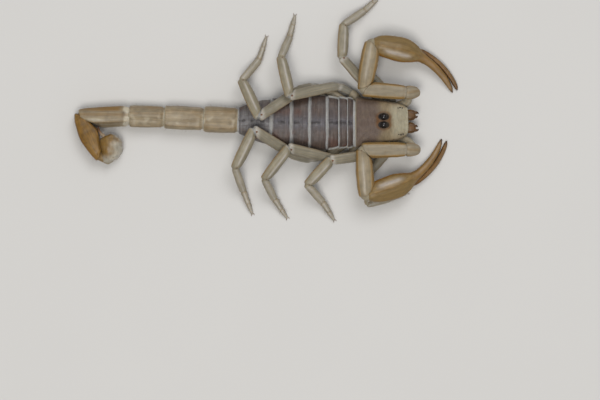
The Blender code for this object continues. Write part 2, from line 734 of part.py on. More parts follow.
def build_leg(builder, side, pair):
    """One leg: trochanter with femur, patella, and tibia with tarsus."""
    hip, root, knee, shin, ankle, tip = leg_joints(side, pair)
    plane = (knee - root).cross(shin - knee).normalized()
    plane = plane if plane.z > 0 else -plane

    femur = Path([hip, root, knee])
    bend = (root - hip).length / femur.length
    at_hip = Joint(hip, hip - root, hip_root(side, pair) - hip)
    at_knee = Joint(knee, knee - root, shin - knee)
    shares = [(0.0, 0.75, 1.0), (bend * 0.8, 0.8, 1.05), (bend * 1.3, 0.85, 1.0), (0.6, 1.0, 1.0),
              (1.0, 0.95, 1.0)]
    rings = sweep(femur, leg_rows(pair, "femur", shares), plane, at_hip, at_knee, rounded=(False, True))
    builder.add(f"leg_{side}_{pair}_femur", close_rings(rings), "leg", hip)

    at_knee = Joint(knee, knee - shin, root - knee)
    at_shin = Joint(shin, shin - knee, ankle - shin)
    shares = [(0.0, 0.85, 1.0), (0.35, 1.0, 1.0), (0.7, 0.98, 1.0), (1.0, 0.8, 0.9)]
    rings = sweep(Path([knee, shin]), leg_rows(pair, "patella", shares), plane, at_knee, at_shin)
    builder.add(f"leg_{side}_{pair}_patella", close_rings(rings), "leg", knee)

    foot = Path([shin, ankle, tip])
    turn = (ankle - shin).length / foot.length
    at_shin = Joint(shin, shin - ankle, knee - shin)
    rows = leg_rows(pair, "tibia", [(0.0, 0.9, 1.0), (turn * 0.6, 1.0, 1.0), (turn * 0.95, 0.85, 0.9)])
    rows += leg_rows(pair, "tarsus", [(turn * 1.25, 1.05, 1.05), (turn + (1 - turn) * 0.7, 0.95, 1.0),
                                      (1.0, 0.5, 0.6)])
    rings = sweep(foot, rows, plane, at_shin, rounded=(True, True))
    builder.add(f"leg_{side}_{pair}_foot", close_rings(rings), "leg", shin)


def main():
    """Build every piece."""
    clear_scene()
    builder = Builder()
    build_head(builder)
    build_underside(builder)
    build_jaws(builder)
    build_abdomen(builder)
    build_combs(builder)
    build_tail(builder)
    for side in SIDES:
        build_pincer(builder, side)
        for pair in LEG_LENGTHS:
            build_leg(builder, side, pair)


main()
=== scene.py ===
"""Desert scorpion, life size: the visual model.

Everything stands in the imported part's own frame: +X is the head, +Y the animal's left and +Z up, with
the floor at zero. Sizes are millimetres unless a name says otherwise, and meshes are made in metres.
Round a piece, a place is a share of the way round its section: 0 is the side across from its line, a
quarter is its back, a half is the other side and three quarters is its belly. Along a piece, a share
is a share of its length, from the end that is nearer to the body.
"""

import logging
from collections.abc import Sequence
from dataclasses import dataclass
from enum import Enum
from math import cos, pi, radians, sin

import bmesh
import bpy
import numpy as np
from mathutils.bvhtree import BVHTree
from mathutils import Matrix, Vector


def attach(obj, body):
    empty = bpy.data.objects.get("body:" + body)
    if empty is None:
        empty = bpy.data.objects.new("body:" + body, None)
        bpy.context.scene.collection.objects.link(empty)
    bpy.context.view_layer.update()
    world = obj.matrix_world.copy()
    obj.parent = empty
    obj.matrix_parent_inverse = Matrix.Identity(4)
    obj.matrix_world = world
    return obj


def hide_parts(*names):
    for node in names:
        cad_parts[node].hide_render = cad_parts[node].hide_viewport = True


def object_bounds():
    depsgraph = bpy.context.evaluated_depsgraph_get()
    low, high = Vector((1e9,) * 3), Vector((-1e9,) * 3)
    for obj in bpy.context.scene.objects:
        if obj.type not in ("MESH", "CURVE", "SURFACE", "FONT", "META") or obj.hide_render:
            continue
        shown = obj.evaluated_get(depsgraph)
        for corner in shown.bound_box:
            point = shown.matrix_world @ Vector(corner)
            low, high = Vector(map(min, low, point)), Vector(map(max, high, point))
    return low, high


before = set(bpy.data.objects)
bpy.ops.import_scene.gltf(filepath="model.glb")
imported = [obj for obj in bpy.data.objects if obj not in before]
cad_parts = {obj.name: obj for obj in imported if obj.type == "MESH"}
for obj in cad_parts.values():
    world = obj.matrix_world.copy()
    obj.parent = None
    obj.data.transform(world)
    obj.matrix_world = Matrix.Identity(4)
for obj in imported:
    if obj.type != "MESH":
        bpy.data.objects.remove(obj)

CAD_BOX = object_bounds()
MM = 0.001
BODY = "root"
UP = np.array((0.0, 0.0, 1.0))
AHEAD = np.array((1.0, 0.0, 0.0))
BACK, BELLY = 0.25, 0.75
MARKS = ("mark", "pale", "rim", "dark")
Array = np.ndarray
Pair = tuple[float, float]
Triple = tuple[float, float, float]
Colour = Triple
Sections = Sequence[tuple[float, float, float, float]]
log = logging.getLogger("scorpion")


class Slot(Enum):
    """Material slots of the part's record."""

    SHIELD = "shield"
    BACK = "back"
    TAIL = "tail"
    TAIL_END = "tail_end"
    BULB = "bulb"
    STING = "sting"
    PINCER = "pincer"
    FINGER = "finger"
    LEG = "leg"
    UNDERSIDE = "underside"
    JAW = "jaw"
    COMB = "comb"
    EYE = "eye"
    MEMBRANE = "membrane"
    SETAE = "setae"


class Side(Enum):
    """The animal's own sides, as the sign of Y."""

    LEFT = 1
    RIGHT = -1

    @property
    def word(self) -> str:
        """The side's name as the part's nodes write it."""
        return self.name.lower()

    def place(self, place: float) -> float:
        """Turn a place round a left limb into the same place on this side."""
        return place if self is Side.LEFT else (0.5 - place) % 1.0


def unit(vectors: Array) -> Array:
    """Scale vectors to length one."""
    return vectors / np.maximum(np.linalg.norm(vectors, axis=-1, keepdims=True), 1e-9)


def heading(angle: float) -> Array:
    """Level unit vector from a heading in degrees."""
    return np.array((cos(radians(angle)), sin(radians(angle)), 0.0))


def ease(value: Array, low: float, high: float) -> Array:
    """Smooth step from 0 at low to 1 at high; low may be the larger."""
    share = np.clip((value - low) / (high - low), 0.0, 1.0)
    return share * share * (3 - 2 * share)


def bell(value: Array, width: float) -> Array:
    """Smooth bump of height one that fades over a width."""
    return np.exp(-((value / width) ** 2))


def fan(count: int, across: Array, lift: Array) -> Array:
    """Spokes all round, in the planes that two directions span."""
    turns = np.arange(count)[:, None] * 2 * pi / count
    return np.cos(turns) * across[..., None, :] + np.sin(turns) * lift[..., None, :]


def blur(values: Array, spread: float, axis: int = 0, ring: bool = False) -> Array:
    """Smooth an array along one axis.

    Args:
        values: The array.
        spread: Width of the smoothing, in steps.
        axis: Axis to smooth along.
        ring: True where the axis closes on itself.

    Returns:
        The smoothed array.
    """
    if spread <= 0:
        return values
    reach = max(1, int(3 * spread))
    steps = np.arange(-reach, reach + 1)
    weights = bell(steps, spread * 1.414)
    weights /= weights.sum()
    count = values.shape[axis]
    result = np.zeros_like(values, dtype=float)
    for step, weight in zip(steps, weights):
        index = np.arange(count) + step
        index = index % count if ring else np.clip(index, 0, count - 1)
        result += weight * np.take(values, index, axis=axis)
    return result


def walk(points: Array, shares: Array | float, values: Array | None = None) -> Array:
    """Read a broken line at shares of its length.

    Args:
        points: The line's points.
        shares: Where to read it.
        values: What to read there, one for each point, or the points themselves.

    Returns:
        One value for each share.
    """
    values = points if values is None else values
    marks = np.concatenate([[0], np.cumsum(np.linalg.norm(np.diff(points, axis=0), axis=1))])
    place = np.asarray(shares) * marks[-1]
    return np.stack([np.interp(place, marks, values[:, k]) for k in range(3)], -1)


def ring_faces(index: Array) -> list[list[int]]:
    """Make the faces between neighbouring rings of points.

    Args:
        index: The points' numbers, which run round the last axis.

    Returns:
        The numbers of each face's points.
    """
    aside = np.roll(index, -1, -1)
    corners = [index[..., :-1, :], aside[..., :-1, :], aside[..., 1:, :], index[..., 1:, :]]
    return np.stack(corners, -1).reshape(-1, 4).tolist()


def make_mesh(name: str, points: Array, faces: list, face_out: bool = True) -> bpy.types.Mesh:
    """Make a smooth mesh.

    Args:
        name: Its name.
        points: Its points, in millimetres.
        faces: The numbers of each face's points.
        face_out: True to turn every face outwards.

    Returns:
        The mesh, in metres.
    """
    mesh = bpy.data.meshes.new(name)
    mesh.from_pydata((points.reshape(-1, 3) * MM).tolist(), [], faces)
    if face_out:
        form = bmesh.new()
        form.from_mesh(mesh)
        bmesh.ops.recalc_face_normals(form, faces=form.faces)
        form.to_mesh(mesh)
        form.free()
    mesh.shade_smooth()
    return mesh


def capped(name: str, rings: Array, poles: Sequence[Array]) -> bpy.types.Mesh:
    """Make a closed mesh of rings between two poles, with nothing below the floor.

    Args:
        name: Its name.
        rings: The rings of points, in order.
        poles: The point before the first ring and the one after the last.

    Returns:
        The mesh.
    """
    points = np.concatenate([rings.reshape(-1, 3), poles])
    points[:, 2] = np.maximum(points[:, 2], 0.0)
    index = np.arange(rings[..., 0].size).reshape(rings.shape[:2])
    aside = np.roll(index, -1, 1)
    fans = [(index.size, *pair) for pair in zip(aside[0], index[0])]
    fans += [(index.size + 1, *pair) for pair in zip(index[-1], aside[-1])]
    return make_mesh(name, points, ring_faces(index) + fans)


def posts(name: str, points: Array) -> bpy.types.Mesh:
    """Make one mesh of many small forms, each a row of rings with flat ends.

    Args:
        name: Its name.
        points: The points, by form, ring and place round the ring.

    Returns:
        The mesh.
    """
    index = np.arange(points[..., 0].size).reshape(points.shape[:3])
    ends = index[:, -1].tolist() + index[:, 0, ::-1].tolist()
    return make_mesh(name, points, ring_faces(index) + ends, face_out=False)


def put_values(mesh: bpy.types.Mesh, name: str, values: Array) -> None:
    """Store a number or a vector for every point of a mesh.

    Args:
        mesh: The mesh.
        name: What they are called.
        values: The numbers or the vectors.
    """
    kind, key = ("FLOAT", "value") if values.ndim == 1 else ("FLOAT_VECTOR", "vector")
    layer = mesh.attributes.new(name, kind, "POINT")
    layer.data.foreach_set(key, np.ascontiguousarray(values, dtype=np.float32).reshape(-1))


def pattern(points: Array, seed: int, size: float, count: int = 24) -> Array:
    """Read smooth seeded randomness, made of waves, at points.

    Args:
        points: The points.
        seed: Which pattern.
        size: Rough size of its patches.
        count: How many waves are summed.

    Returns:
        Numbers from about -1 to 1.
    """
    dice = np.random.default_rng(seed)
    ways = dice.normal(size=(count, 3)) / size * 1.6
    starts = dice.random(count) * 2 * pi
    return np.sin(points @ ways.T + starts).sum(-1) / np.sqrt(count * 0.5) / 1.8


class Solid:
    """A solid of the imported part, read as a closed mesh in millimetres."""

    samples = 5000

    def __init__(self, *nodes: str) -> None:
        """Read one or more nodes together.

        Args:
            nodes: Their names.
        """
        form = bmesh.new()
        for node in nodes:
            form.from_mesh(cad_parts[node].data)
        bmesh.ops.remove_doubles(form, verts=form.verts, dist=2e-6)
        bmesh.ops.triangulate(form, faces=form.faces)
        form.verts.index_update()
        self.points = np.array([vertex.co[:] for vertex in form.verts]) / MM
        self.faces = np.array([[vertex.index for vertex in face.verts] for face in form.faces])
        self.tree = BVHTree.FromPolygons(self.points.tolist(), self.faces.tolist())
        form.free()

    @property
    def centre(self) -> Array:
        """Middle of the solid's box."""
        return (self.points.min(0) + self.points.max(0)) / 2

    def spread(self) -> tuple[Array, Array]:
        """Spread points evenly over the surface.

        Returns:
            The points, and the surface's directions there.
        """
        dice = np.random.default_rng(5)
        one, two, three = (self.points[self.faces[:, k]] for k in range(3))
        normals = np.cross(two - one, three - one)
        area = np.linalg.norm(normals, axis=1)
        pick = dice.choice(len(area), self.samples, p=area / area.sum())
        a, b = dice.random((2, self.samples, 1))
        over = a + b > 1
        a, b = np.where(over, 1 - a, a), np.where(over, 1 - b, b)
        return one[pick] + (two - one)[pick] * a + (three - one)[pick] * b, unit(normals[pick])

    def reach(self, start: Array, way: Array) -> float:
        """Distance from a point inside to the surface, or zero where nothing is met."""
        return self.tree.ray_cast(start.tolist(), way.tolist())[3] or 0.0

    def reach_from_outside(self, start: Array, way: Array, far: float = 9.0) -> float:
        """Distance from a point inside to the outermost surface along a way."""
        distance = self.tree.ray_cast((start + way * far).tolist(), (-way).tolist(), far)[3]
        return far - distance if distance is not None else 0.0


class Line:
    """A smooth line through points, read by the share of its length."""

    count = 161

    def __init__(self, points: Sequence, smoothing: float = 0.0) -> None:
        """Lay the line.

        Args:
            points: Points along it, in order.
            smoothing: How far its bends are eased, in shares of its length.
        """
        even = walk(np.array(points, float), np.linspace(0, 1, self.count))
        self.points = blur(even, smoothing * self.count)
        self.points[[0, -1]] = even[[0, -1]]
        self.length = float(np.linalg.norm(np.diff(self.points, axis=0), axis=1).sum())
        self.ways = unit(blur(np.gradient(self.points, axis=0), 3.0))

    def at(self, shares: Array) -> Array:
        """Points at shares of the length."""
        return walk(self.points, shares)

    def way(self, shares: Array | float) -> Array:
        """Directions at shares of the length."""
        return unit(walk(self.points, shares, self.ways))

    @classmethod
    def along_body(cls, solid: Solid, stations: int = 9) -> "Line":
        """Line through a body ring or the shield, from front to rear at its middle height.

        Args:
            solid: The solid.
            stations: How many places are measured.

        Returns:
            The line, straight, and square to the body where the solid is short.
        """
        samples = solid.spread()[0]
        low, high = solid.points[:, 0].min(), solid.points[:, 0].max()
        places = np.linspace(high, low, stations)
        weights = bell(samples[None, :, 0] - places[:, None], (high - low) / stations)
        means = weights @ samples / weights.sum(1, keepdims=True)
        degree = 1 if high - low > 4.0 else 0
        y, z = (np.polyval(np.polyfit(places, means[:, k], degree), places) for k in (1, 2))
        return cls(np.stack([places, y, z], 1))

    @classmethod
    def straight(cls, solid: Solid, near: Array) -> "Line":
        """Straight centre line of a limb piece, square to the directions of its sides.

        Args:
            solid: The solid.
            near: A point on the side where the line starts.

        Returns:
            The line, from surface to surface.
        """
        samples, normals = solid.spread()
        centre = samples.mean(0)
        way = np.linalg.svd(samples - centre, full_matrices=False)[2][0]
        for _ in range(3):
            share = (samples - centre) @ way
            low, high = np.percentile(share, (18, 82))
            middle = (share > low) & (share < high)
            found = np.linalg.svd(normals[middle], full_matrices=False)[2][-1]
            way = found if found @ way > 0 else -found
            slices = [
                samples[middle & (np.abs(share - at) < (high - low) / 8)] for at in np.linspace(low, high, 7)
            ]
            centre = np.mean([part.mean(0) for part in slices if len(part)], axis=0)
        if (near - centre) @ way > 0:
            way = -way
        return cls([centre - way * solid.reach(centre, -way), centre + way * solid.reach(centre, way)])

    @classmethod
    def through(cls, solid: Solid, near: Array, stations: int = 16) -> "Line":
        """Centre line of a bent piece.

        Args:
            solid: The solid.
            near: A point on the side where the line starts.
            stations: How many places are measured.

        Returns:
            The line, from surface to surface.
        """
        samples = solid.spread()[0]
        centre = samples.mean(0)
        way = np.linalg.svd(samples - centre, full_matrices=False)[2][0]
        if (near - centre) @ way > 0:
            way = -way
        shares = (samples - centre) @ way
        line = centre + np.outer(np.linspace(shares.min(), shares.max(), stations), way)
        marks = np.linspace(0, 1, stations)
        for _ in range(5):
            run = np.diff(line, axis=0)
            away = samples[:, None] - line[None, :-1]
            share = np.clip((away * run).sum(-1) / (run * run).sum(-1), 0, 1)
            best = np.linalg.norm(away - share[..., None] * run, axis=-1).argmin(1)
            place = (best + share[np.arange(len(best)), best]) / (stations - 1)
            weights = bell(place[None] - marks[:, None], 0.75 / stations)
            line = (weights @ samples / weights.sum(1, keepdims=True))[1:-1]
            first, last = unit(line[0] - line[2]), unit(line[-1] - line[-3])
            start = line[0] + first * solid.reach(line[0], first)
            line = cls([start, *line, line[-1] + last * solid.reach(line[-1], last)], 0.02).at(marks)
        return cls(line, 0.03)


@dataclass(frozen=True)
class Ridge:
    """A raised line along a piece, or a furrow where its height is below zero.

    places are where it and any others like it lie round the piece, and drift how far they move along
    it. beads is the spacing of its granules, or 0 where it is plain. tint is how much of the rim
    colour it takes.
    """

    places: float | Sequence[float]
    height: float
    width: float
    beads: float = 0.0
    tint: float = 0.0
    drift: float = 0.0
    start: float = 0.04
    end: float = 0.96


class Shell:
    """A plate or limb piece: a grid of points, rows along it and columns round it."""

    spokes = 96
    cap_turns = (28, 52, 70, 82)

    def __init__(self, line: Line, shares: Array, points: Array) -> None:
        """Keep the grid and measure it.

        Args:
            line: The piece's own line.
            shares: Share of the length at each row.
            points: The grid, rows by columns by 3.
        """
        self.line, self.shares, self.points = line, shares, points
        self.columns = points.shape[1]
        self.round = np.arange(self.columns) / self.columns
        self.marks = {name: np.zeros(points.shape[:2]) for name in MARKS}
        self.measure()

    @staticmethod
    def frames(line: Line, shares: Array, up: Array) -> tuple[Array, Array, Array]:
        """Lay sections across a line.

        Args:
            line: The line.
            shares: Where they lie, as shares of its length.
            up: Direction of the piece's back.

        Returns:
            Their centres, and their directions across and towards the back.
        """
        ways = line.way(shares)
        across = unit(np.cross(ways, up))
        return line.at(shares), across, np.cross(across, ways)

    @staticmethod
    def row_shares(rows: int, inset: float = 0.004) -> Array:
        """Shares of the length for rows, closer together near both ends."""
        even = np.linspace(0, 1, rows)
        return inset + (1 - 2 * inset) * (0.55 * even + 0.45 * (0.5 - 0.5 * np.cos(pi * even)))

    @staticmethod
    def even_columns(rings: Array, columns: int) -> Array:
        """Space the columns evenly within each quarter of every section.

        Args:
            rings: The sections.
            columns: How many columns to have.

        Returns:
            The new sections.
        """
        quarter = rings.shape[1] // 4
        shares = np.arange(columns // 4) / (columns // 4)
        index = [np.arange(k * quarter, (k + 1) * quarter + 1) % rings.shape[1] for k in range(4)]
        return np.array([np.concatenate([walk(ring[part], shares) for part in index]) for ring in rings])

    @classmethod
    def wrap(
        cls, solid: Solid, line: Line, up: Array, rows: int, columns: int, soften: float = 12.0,
        along: float = 0.2, outside: bool = False, slanted: bool = False,
    ) -> "Shell":
        """Lay a smooth shell over a solid.

        Args:
            solid: The solid.
            line: Its centre line.
            up: Direction of the piece's back.
            rows: Rows along the piece.
            columns: Columns round it, a multiple of four.
            soften: How far round its facets are smoothed, in degrees.
            along: How far along they are smoothed.
            outside: True to measure from outside, over whatever stands proud.
            slanted: True to follow slanted ends.

        Returns:
            The shell.
        """
        shares = cls.row_shares(rows)
        centres, across, lift = cls.frames(line, shares, up)
        spokes = fan(cls.spokes, across, lift)
        measure = solid.reach_from_outside if outside else solid.reach
        reach = np.array([[measure(centre, way) for way in ways] for centre, ways in zip(centres, spokes)])
        reach[reach <= 0] = np.median(reach[reach > 0]) * 0.3
        centres = np.repeat(centres[:, None], cls.spokes, 1)
        if slanted:
            centres = cls.slant_ends(solid, line, shares, centres, spokes, reach)
        reach = blur(reach, soften / 360 * cls.spokes, 1, True)
        reach = blur(reach, along / line.length * rows)
        return cls(line, shares, cls.even_columns(centres + reach[..., None] * spokes, columns))

    @staticmethod
    def slant_ends(solid: Solid, line: Line, shares: Array, centres: Array, spokes: Array, reach: Array) -> Array:
        """Carry each column on to where the solid ends, so that slanted ends are followed.

        Args:
            solid: The solid.
            line: Its centre line.
            shares: Share of the length at each row.
            centres: Centres of the sections, for every row and column.
            spokes: Outward direction of every row and column.
            reach: Distance from centre to surface, which is measured again near the ends.

        Returns:
            The centres, moved along the line near both ends.
        """
        moved = centres.copy()
        for at, seen_at, zone in ((0.0, 0.17, (0.34, 0.0)), (1.0, 0.83, (0.66, 1.0))):
            row = int(np.abs(shares - seen_at).argmin())
            way = line.way(at) * (-1 if at == 0.0 else 1)
            usual = abs(shares[row] - at) * line.length
            starts = centres[row] + 0.8 * reach[row, :, None] * spokes[row]
            found = np.array([solid.reach(start, way) or usual for start in starts])
            offset = np.clip(blur(found - usual, 1.5, 0, True), -0.9, 0.9)
            ramp = ease(shares, *zone)
            moved += (ramp[:, None] * offset[None])[..., None] * way
            for i in np.flatnonzero(ramp > 0.02):
                far = 1.3 * reach[row].max() + 0.3
                for j, spoke in enumerate(spokes[i]):
                    reach[i, j] = solid.reach_from_outside(moved[i, j], spoke, far) or reach[i, j] * 0.6
        return moved

    @classmethod
    def sweep(
        cls, line: Line, sections: Sections, up: Array, rows: int, columns: int, power: float = 2.3,
        ease_rows: float = 0.03,
    ) -> "Shell":
        """Lay a shell along a line from a few sections.

        Args:
            line: The centre line.
            sections: Share of the length, half width, height towards the back and towards the belly.
            up: Direction of the piece's back.
            rows: Rows along the piece.
            columns: Columns round it, a multiple of four.
            power: Roundness of the section: 2 is an ellipse, more is squarer.
            ease_rows: How far the rows are smoothed, in shares of the length.

        Returns:
            The shell.
        """
        shares = cls.row_shares(rows, 0.0)
        centres, across, lift = cls.frames(line, shares, up)
        table = np.array(sections)
        wide, back, belly = (
            blur(np.interp(shares, table[:, 0], table[:, k]), rows * ease_rows)[:, None] for k in (1, 2, 3)
        )
        turns = np.arange(cls.spokes) * 2 * pi / cls.spokes
        side, rise = (np.sign(f(turns)) * np.abs(f(turns)) ** (2 / power) for f in (np.cos, np.sin))
        tall = np.where(rise > 0, back, belly) * rise
        rings = centres[:, None] + (wide * side)[..., None] * across[:, None] + tall[..., None] * lift[:, None]
        return cls(line, shares, cls.even_columns(rings, columns))

    def measure(self) -> None:
        """Work out the outward directions and the distances round each section."""
        around = np.roll(self.points, -1, 1) - np.roll(self.points, 1, 1)
        self.onward = unit(np.gradient(self.points, axis=0))
        self.outward = unit(np.cross(around, self.onward))
        if ((self.points - self.points.mean(1, keepdims=True)) * self.outward).sum() < 0:
            self.outward = -self.outward
        steps = np.linalg.norm(np.roll(self.points, -1, 1) - self.points, axis=2)
        self.girth = steps.sum(1)
        self.arc = np.concatenate([np.zeros((len(steps), 1)), np.cumsum(steps, 1)[:, :-1]], 1)

    @property
    def share(self) -> Array:
        """Share of the length at each row, as a column."""
        return self.shares[:, None]

    @property
    def run(self) -> Array:
        """Distance along the piece at each row, as a column."""
        return self.share * self.line.length

    @property
    def upward(self) -> Array:
        """How far each point faces up, from -1 to 1."""
        return self.outward[..., 2]

    def arc_from(self, place: float | Array) -> Array:
        """Measure how far every point lies from a place, round its section.

        Args:
            place: The place, or one for each row.

        Returns:
            Signed distances.
        """
        places = np.broadcast_to(place, self.shares.shape) % 1.0
        turns = np.append(self.round, 1.0)
        start = [np.interp(at, turns, np.append(arc, girth)) for at, arc, girth in zip(places, self.arc, self.girth)]
        girth = self.girth[:, None]
        return (self.arc - np.array(start)[:, None] + girth / 2) % girth - girth / 2

    def stripe(self, place: float, width: float) -> Array:
        """A soft stripe along the piece at a place."""
        return bell(self.arc_from(place), width)

    def away(self, *places: float) -> Array:
        """Distance round the section to the nearest of some places."""
        return np.min([np.abs(self.arc_from(place)) for place in places], axis=0)

    def waves(self, seed: int, size: float, scale: Triple = (1.0, 1.0, 1.0)) -> Array:
        """A seeded pattern at every point, drawn out where a scale is below one."""
        return pattern(self.points * scale, seed, size)

    def spots(self, place: float, drift: float, shares: Array) -> tuple[Array, Array]:
        """Rows and columns of the grid along a line at a place, at shares of the length."""
        rows = np.abs(self.shares[None] - shares[:, None]).argmin(1)
        return rows, np.round((place + drift * shares) * self.columns).astype(int) % self.columns

    def move_to(self, points: Array) -> "Shell":
        """Give the grid new points.

        Args:
            points: The points.

        Returns:
            The shell itself.
        """
        self.points = points
        self.measure()
        return self

    def push(self, amount: Array) -> "Shell":
        """Move every point outwards by an amount."""
        return self.move_to(self.points + self.outward * np.asarray(amount)[..., None])

    def stretch(self, start: float, end: float) -> "Shell":
        """Draw the ends out along the line, by lengths."""
        slide = end * ease(self.shares, 0.62, 1.0) - start * ease(self.shares, 0.38, 0.0)
        return self.move_to(self.points + self.line.way(self.shares)[:, None] * slide[:, None, None])

    def narrow(self, size: Array) -> "Shell":
        """Draw every section in to a share of its size."""
        middle = self.points.mean(1, keepdims=True)
        return self.move_to(middle + (self.points - middle) * size[:, None, None])

    def round_off(self, start: float, end: float, share: float = 0.3) -> "Shell":
        """Draw both ends in to a round shoulder, over two lengths and by a share of the size."""
        before, after = self.run[:, 0] / max(start, 1e-6), (self.line.length - self.run[:, 0]) / max(end, 1e-6)
        return self.narrow(1 - share * np.clip(1 - np.minimum(before, after), 0, 1) ** 2)

    def tint(self, name: str, amount: Array | float) -> "Shell":
        """Add to one of the marks, which stay between 0 and 1."""
        self.marks[name] = np.clip(self.marks[name] + amount, 0.0, 1.0)
        return self

    def ridge(self, *ridges: Ridge) -> "Shell":
        """Raise ridges and press furrows.

        Args:
            ridges: The ridges.

        Returns:
            The shell itself.
        """
        total = np.zeros(self.points.shape[:2])
        for ridge in ridges:
            fade = ease(self.share, ridge.start - 0.04, ridge.start + 0.06)
            fade = fade * ease(self.share, ridge.end + 0.04, ridge.end - 0.06)
            beads = 0.6 + 0.4 * np.abs(np.cos(pi * self.run / ridge.beads)) if ridge.beads else 1.0
            for place in np.atleast_1d(ridge.places):
                away = self.arc_from(place + ridge.drift * self.shares)
                total += bell(away, ridge.width) * fade * ridge.height * beads
                self.tint("rim", bell(away, ridge.width * 1.15) * fade * ridge.tint)
        return self.push(total)

    def keep_above_floor(self) -> "Shell":
        """Flatten whatever would reach below the floor."""
        self.points[..., 2] = np.maximum(self.points[..., 2], 0.0)
        return self

    def mesh(self, name: str, bulge: float = 0.05) -> bpy.types.Mesh:
        """Make the mesh, with rounded ends and with its marks and its lay as attributes.

        Args:
            name: Name of the mesh.
            bulge: How far its ends stand out.

        Returns:
            The mesh.
        """
        caps = []
        for end, way in ((0, -1), (-1, 1)):
            middle, out = self.points[end].mean(0), self.line.way(abs(float(end))) * way * bulge
            caps.append([
                middle + (self.points[end] - middle) * cos(radians(a)) + out * sin(radians(a)) for a in self.cap_turns
            ])
        grid = np.concatenate([caps[0][::-1], self.points, caps[1]])
        source = np.clip(np.arange(len(grid)) - len(self.cap_turns), 0, len(self.points) - 1)
        mesh = capped(name, grid, [grid[0].mean(0), grid[-1].mean(0)])
        for mark, values in self.marks.items():
            put_values(mesh, mark, np.append(values[source], (values[0].mean(), values[-1].mean())))
        radius, turn = self.girth[source, None] / (2 * pi), 2 * pi * self.round[None]
        run = np.broadcast_to(self.run[source], grid.shape[:2])
        lay = np.stack([radius * np.cos(turn), radius * np.sin(turn), run], -1).reshape(-1, 3)
        put_values(mesh, "lay", np.concatenate([lay, lay[:1], lay[-1:]]))
        return mesh


def joined(name: str, meshes: Sequence[bpy.types.Mesh]) -> bpy.types.Mesh:
    """Join meshes into one, with what they carry, and drop the parts.

    Args:
        name: Name of the whole.
        meshes: The parts.

    Returns:
        The whole.
    """
    form = bmesh.new()
    for mesh in meshes:
        form.from_mesh(mesh)
    whole = meshes[0].copy()
    whole.name = name
    form.to_mesh(whole)
    form.free()
    for mesh in meshes:
        bpy.data.meshes.remove(mesh)
    whole.shade_smooth()
    return whole


def turned(
    name: str, profile: Sequence[Pair], centre: Array, axis: Array, radius: float, around: int = 40,
) -> bpy.types.Mesh:
    """Make a turned form.

    Args:
        name: Name of the mesh.
        profile: Radius and height from the top pole to the bottom pole, as shares of a radius.
        centre: Its middle.
        axis: Its axis, pointing to the top.
        radius: The size that the profile's shares refer to.
        around: How many points each ring has.

    Returns:
        The mesh.
    """
    table = np.array(profile)
    fine = np.linspace(0, 1, 3 * len(table))
    wide, tall = (blur(np.interp(fine, np.linspace(0, 1, len(table)), table[:, k]), 1.0) for k in (0, 1))
    tall[0], tall[-1] = table[0, 1], table[-1, 1]
    one = unit(np.cross(axis, AHEAD + 0.1))
    spokes = fan(around, one, np.cross(axis, one))
    rings = centre + radius * (wide[1:-1, None, None] * spokes[None] + tall[1:-1, None, None] * axis)
    return capped(name, rings, centre + radius * np.outer((tall[0], tall[-1]), axis))


class Board:
    """Lays out the nodes of one material."""

    def __init__(self, name: str) -> None:
        """Start a material, with its Principled shader.

        Args:
            name: The material's name.
        """
        self.material = bpy.data.materials.new(name)
        self.material.use_nodes = True
        self.tree = self.material.node_tree
        self.shader = self.tree.nodes["Principled BSDF"]
        self.place = self.add("ShaderNodeTexCoord", {}).outputs["Object"]

    def add(self, kind: str, inputs: dict[str | int, object], **settings: object) -> bpy.types.Node:
        """Add a node.

        Args:
            kind: The node's type.
            inputs: A value or a socket for each named input.
            settings: The node's own settings.

        Returns:
            The node.
        """
        node = self.tree.nodes.new(kind)
        for name, value in settings.items():
            setattr(node, name, value)
        for name, value in inputs.items():
            self.feed(node.inputs[name], value)
        return node

    def feed(self, socket: bpy.types.NodeSocket, value: object) -> None:
        """Link a socket to another, or set its value.

        Args:
            socket: The socket.
            value: Another socket, a number, a vector or a colour.
        """
        if isinstance(value, bpy.types.NodeSocket):
            self.tree.links.new(value, socket)
        elif isinstance(value, tuple) and len(value) == 3 and socket.type == "RGBA":
            socket.default_value = (*value, 1.0)
        else:
            socket.default_value = value

    def set(self, **values: object) -> None:
        """Feed the shader's inputs, named with _ for a space."""
        for name, value in values.items():
            self.feed(self.shader.inputs[name.replace("_", " ")], value)

    def mark(self, name: str) -> bpy.types.NodeSocket:
        """One of the numbers that the mesh carries."""
        return self.add("ShaderNodeAttribute", {}, attribute_name=name).outputs["Fac"]

    def blend(self, share: object, one: object, two: object, kind: str = "MIX") -> bpy.types.NodeSocket:
        """Mix two colours."""
        return self.add("ShaderNodeMix", {0: share, 6: one, 7: two}, data_type="RGBA", blend_type=kind).outputs[2]

    def sum(self, kind: str, one: object, two: object) -> bpy.types.NodeSocket:
        """Arithmetic on two numbers."""
        return self.add("ShaderNodeMath", {0: one, 1: two}, operation=kind).outputs[0]

    def span(self, value: object, low: float, high: float, start: float, end: float) -> bpy.types.NodeSocket:
        """Map low..high to start..end."""
        inputs = {"Value": value, "From Min": low, "From Max": high, "To Min": start, "To Max": end}
        return self.add("ShaderNodeMapRange", inputs).outputs["Result"]

    def noise(self, size: float, detail: float = 3.0, place: object = None) -> bpy.types.NodeSocket:
        """Cloudy noise of a size in millimetres, or of one step of another place."""
        inputs = {"Vector": place or self.place, "Scale": 1 / size if place else 1 / (size * MM), "Detail": detail}
        return self.add("ShaderNodeTexNoise", inputs).outputs["Fac"]

    def relief(self, height: bpy.types.NodeSocket, strength: float, depth: float) -> None:
        """Let a height, of a depth in millimetres, tilt the surface."""
        bump = self.add("ShaderNodeBump", {"Height": height, "Strength": strength, "Distance": depth * MM})
        self.set(Normal=bump.outputs["Normal"])


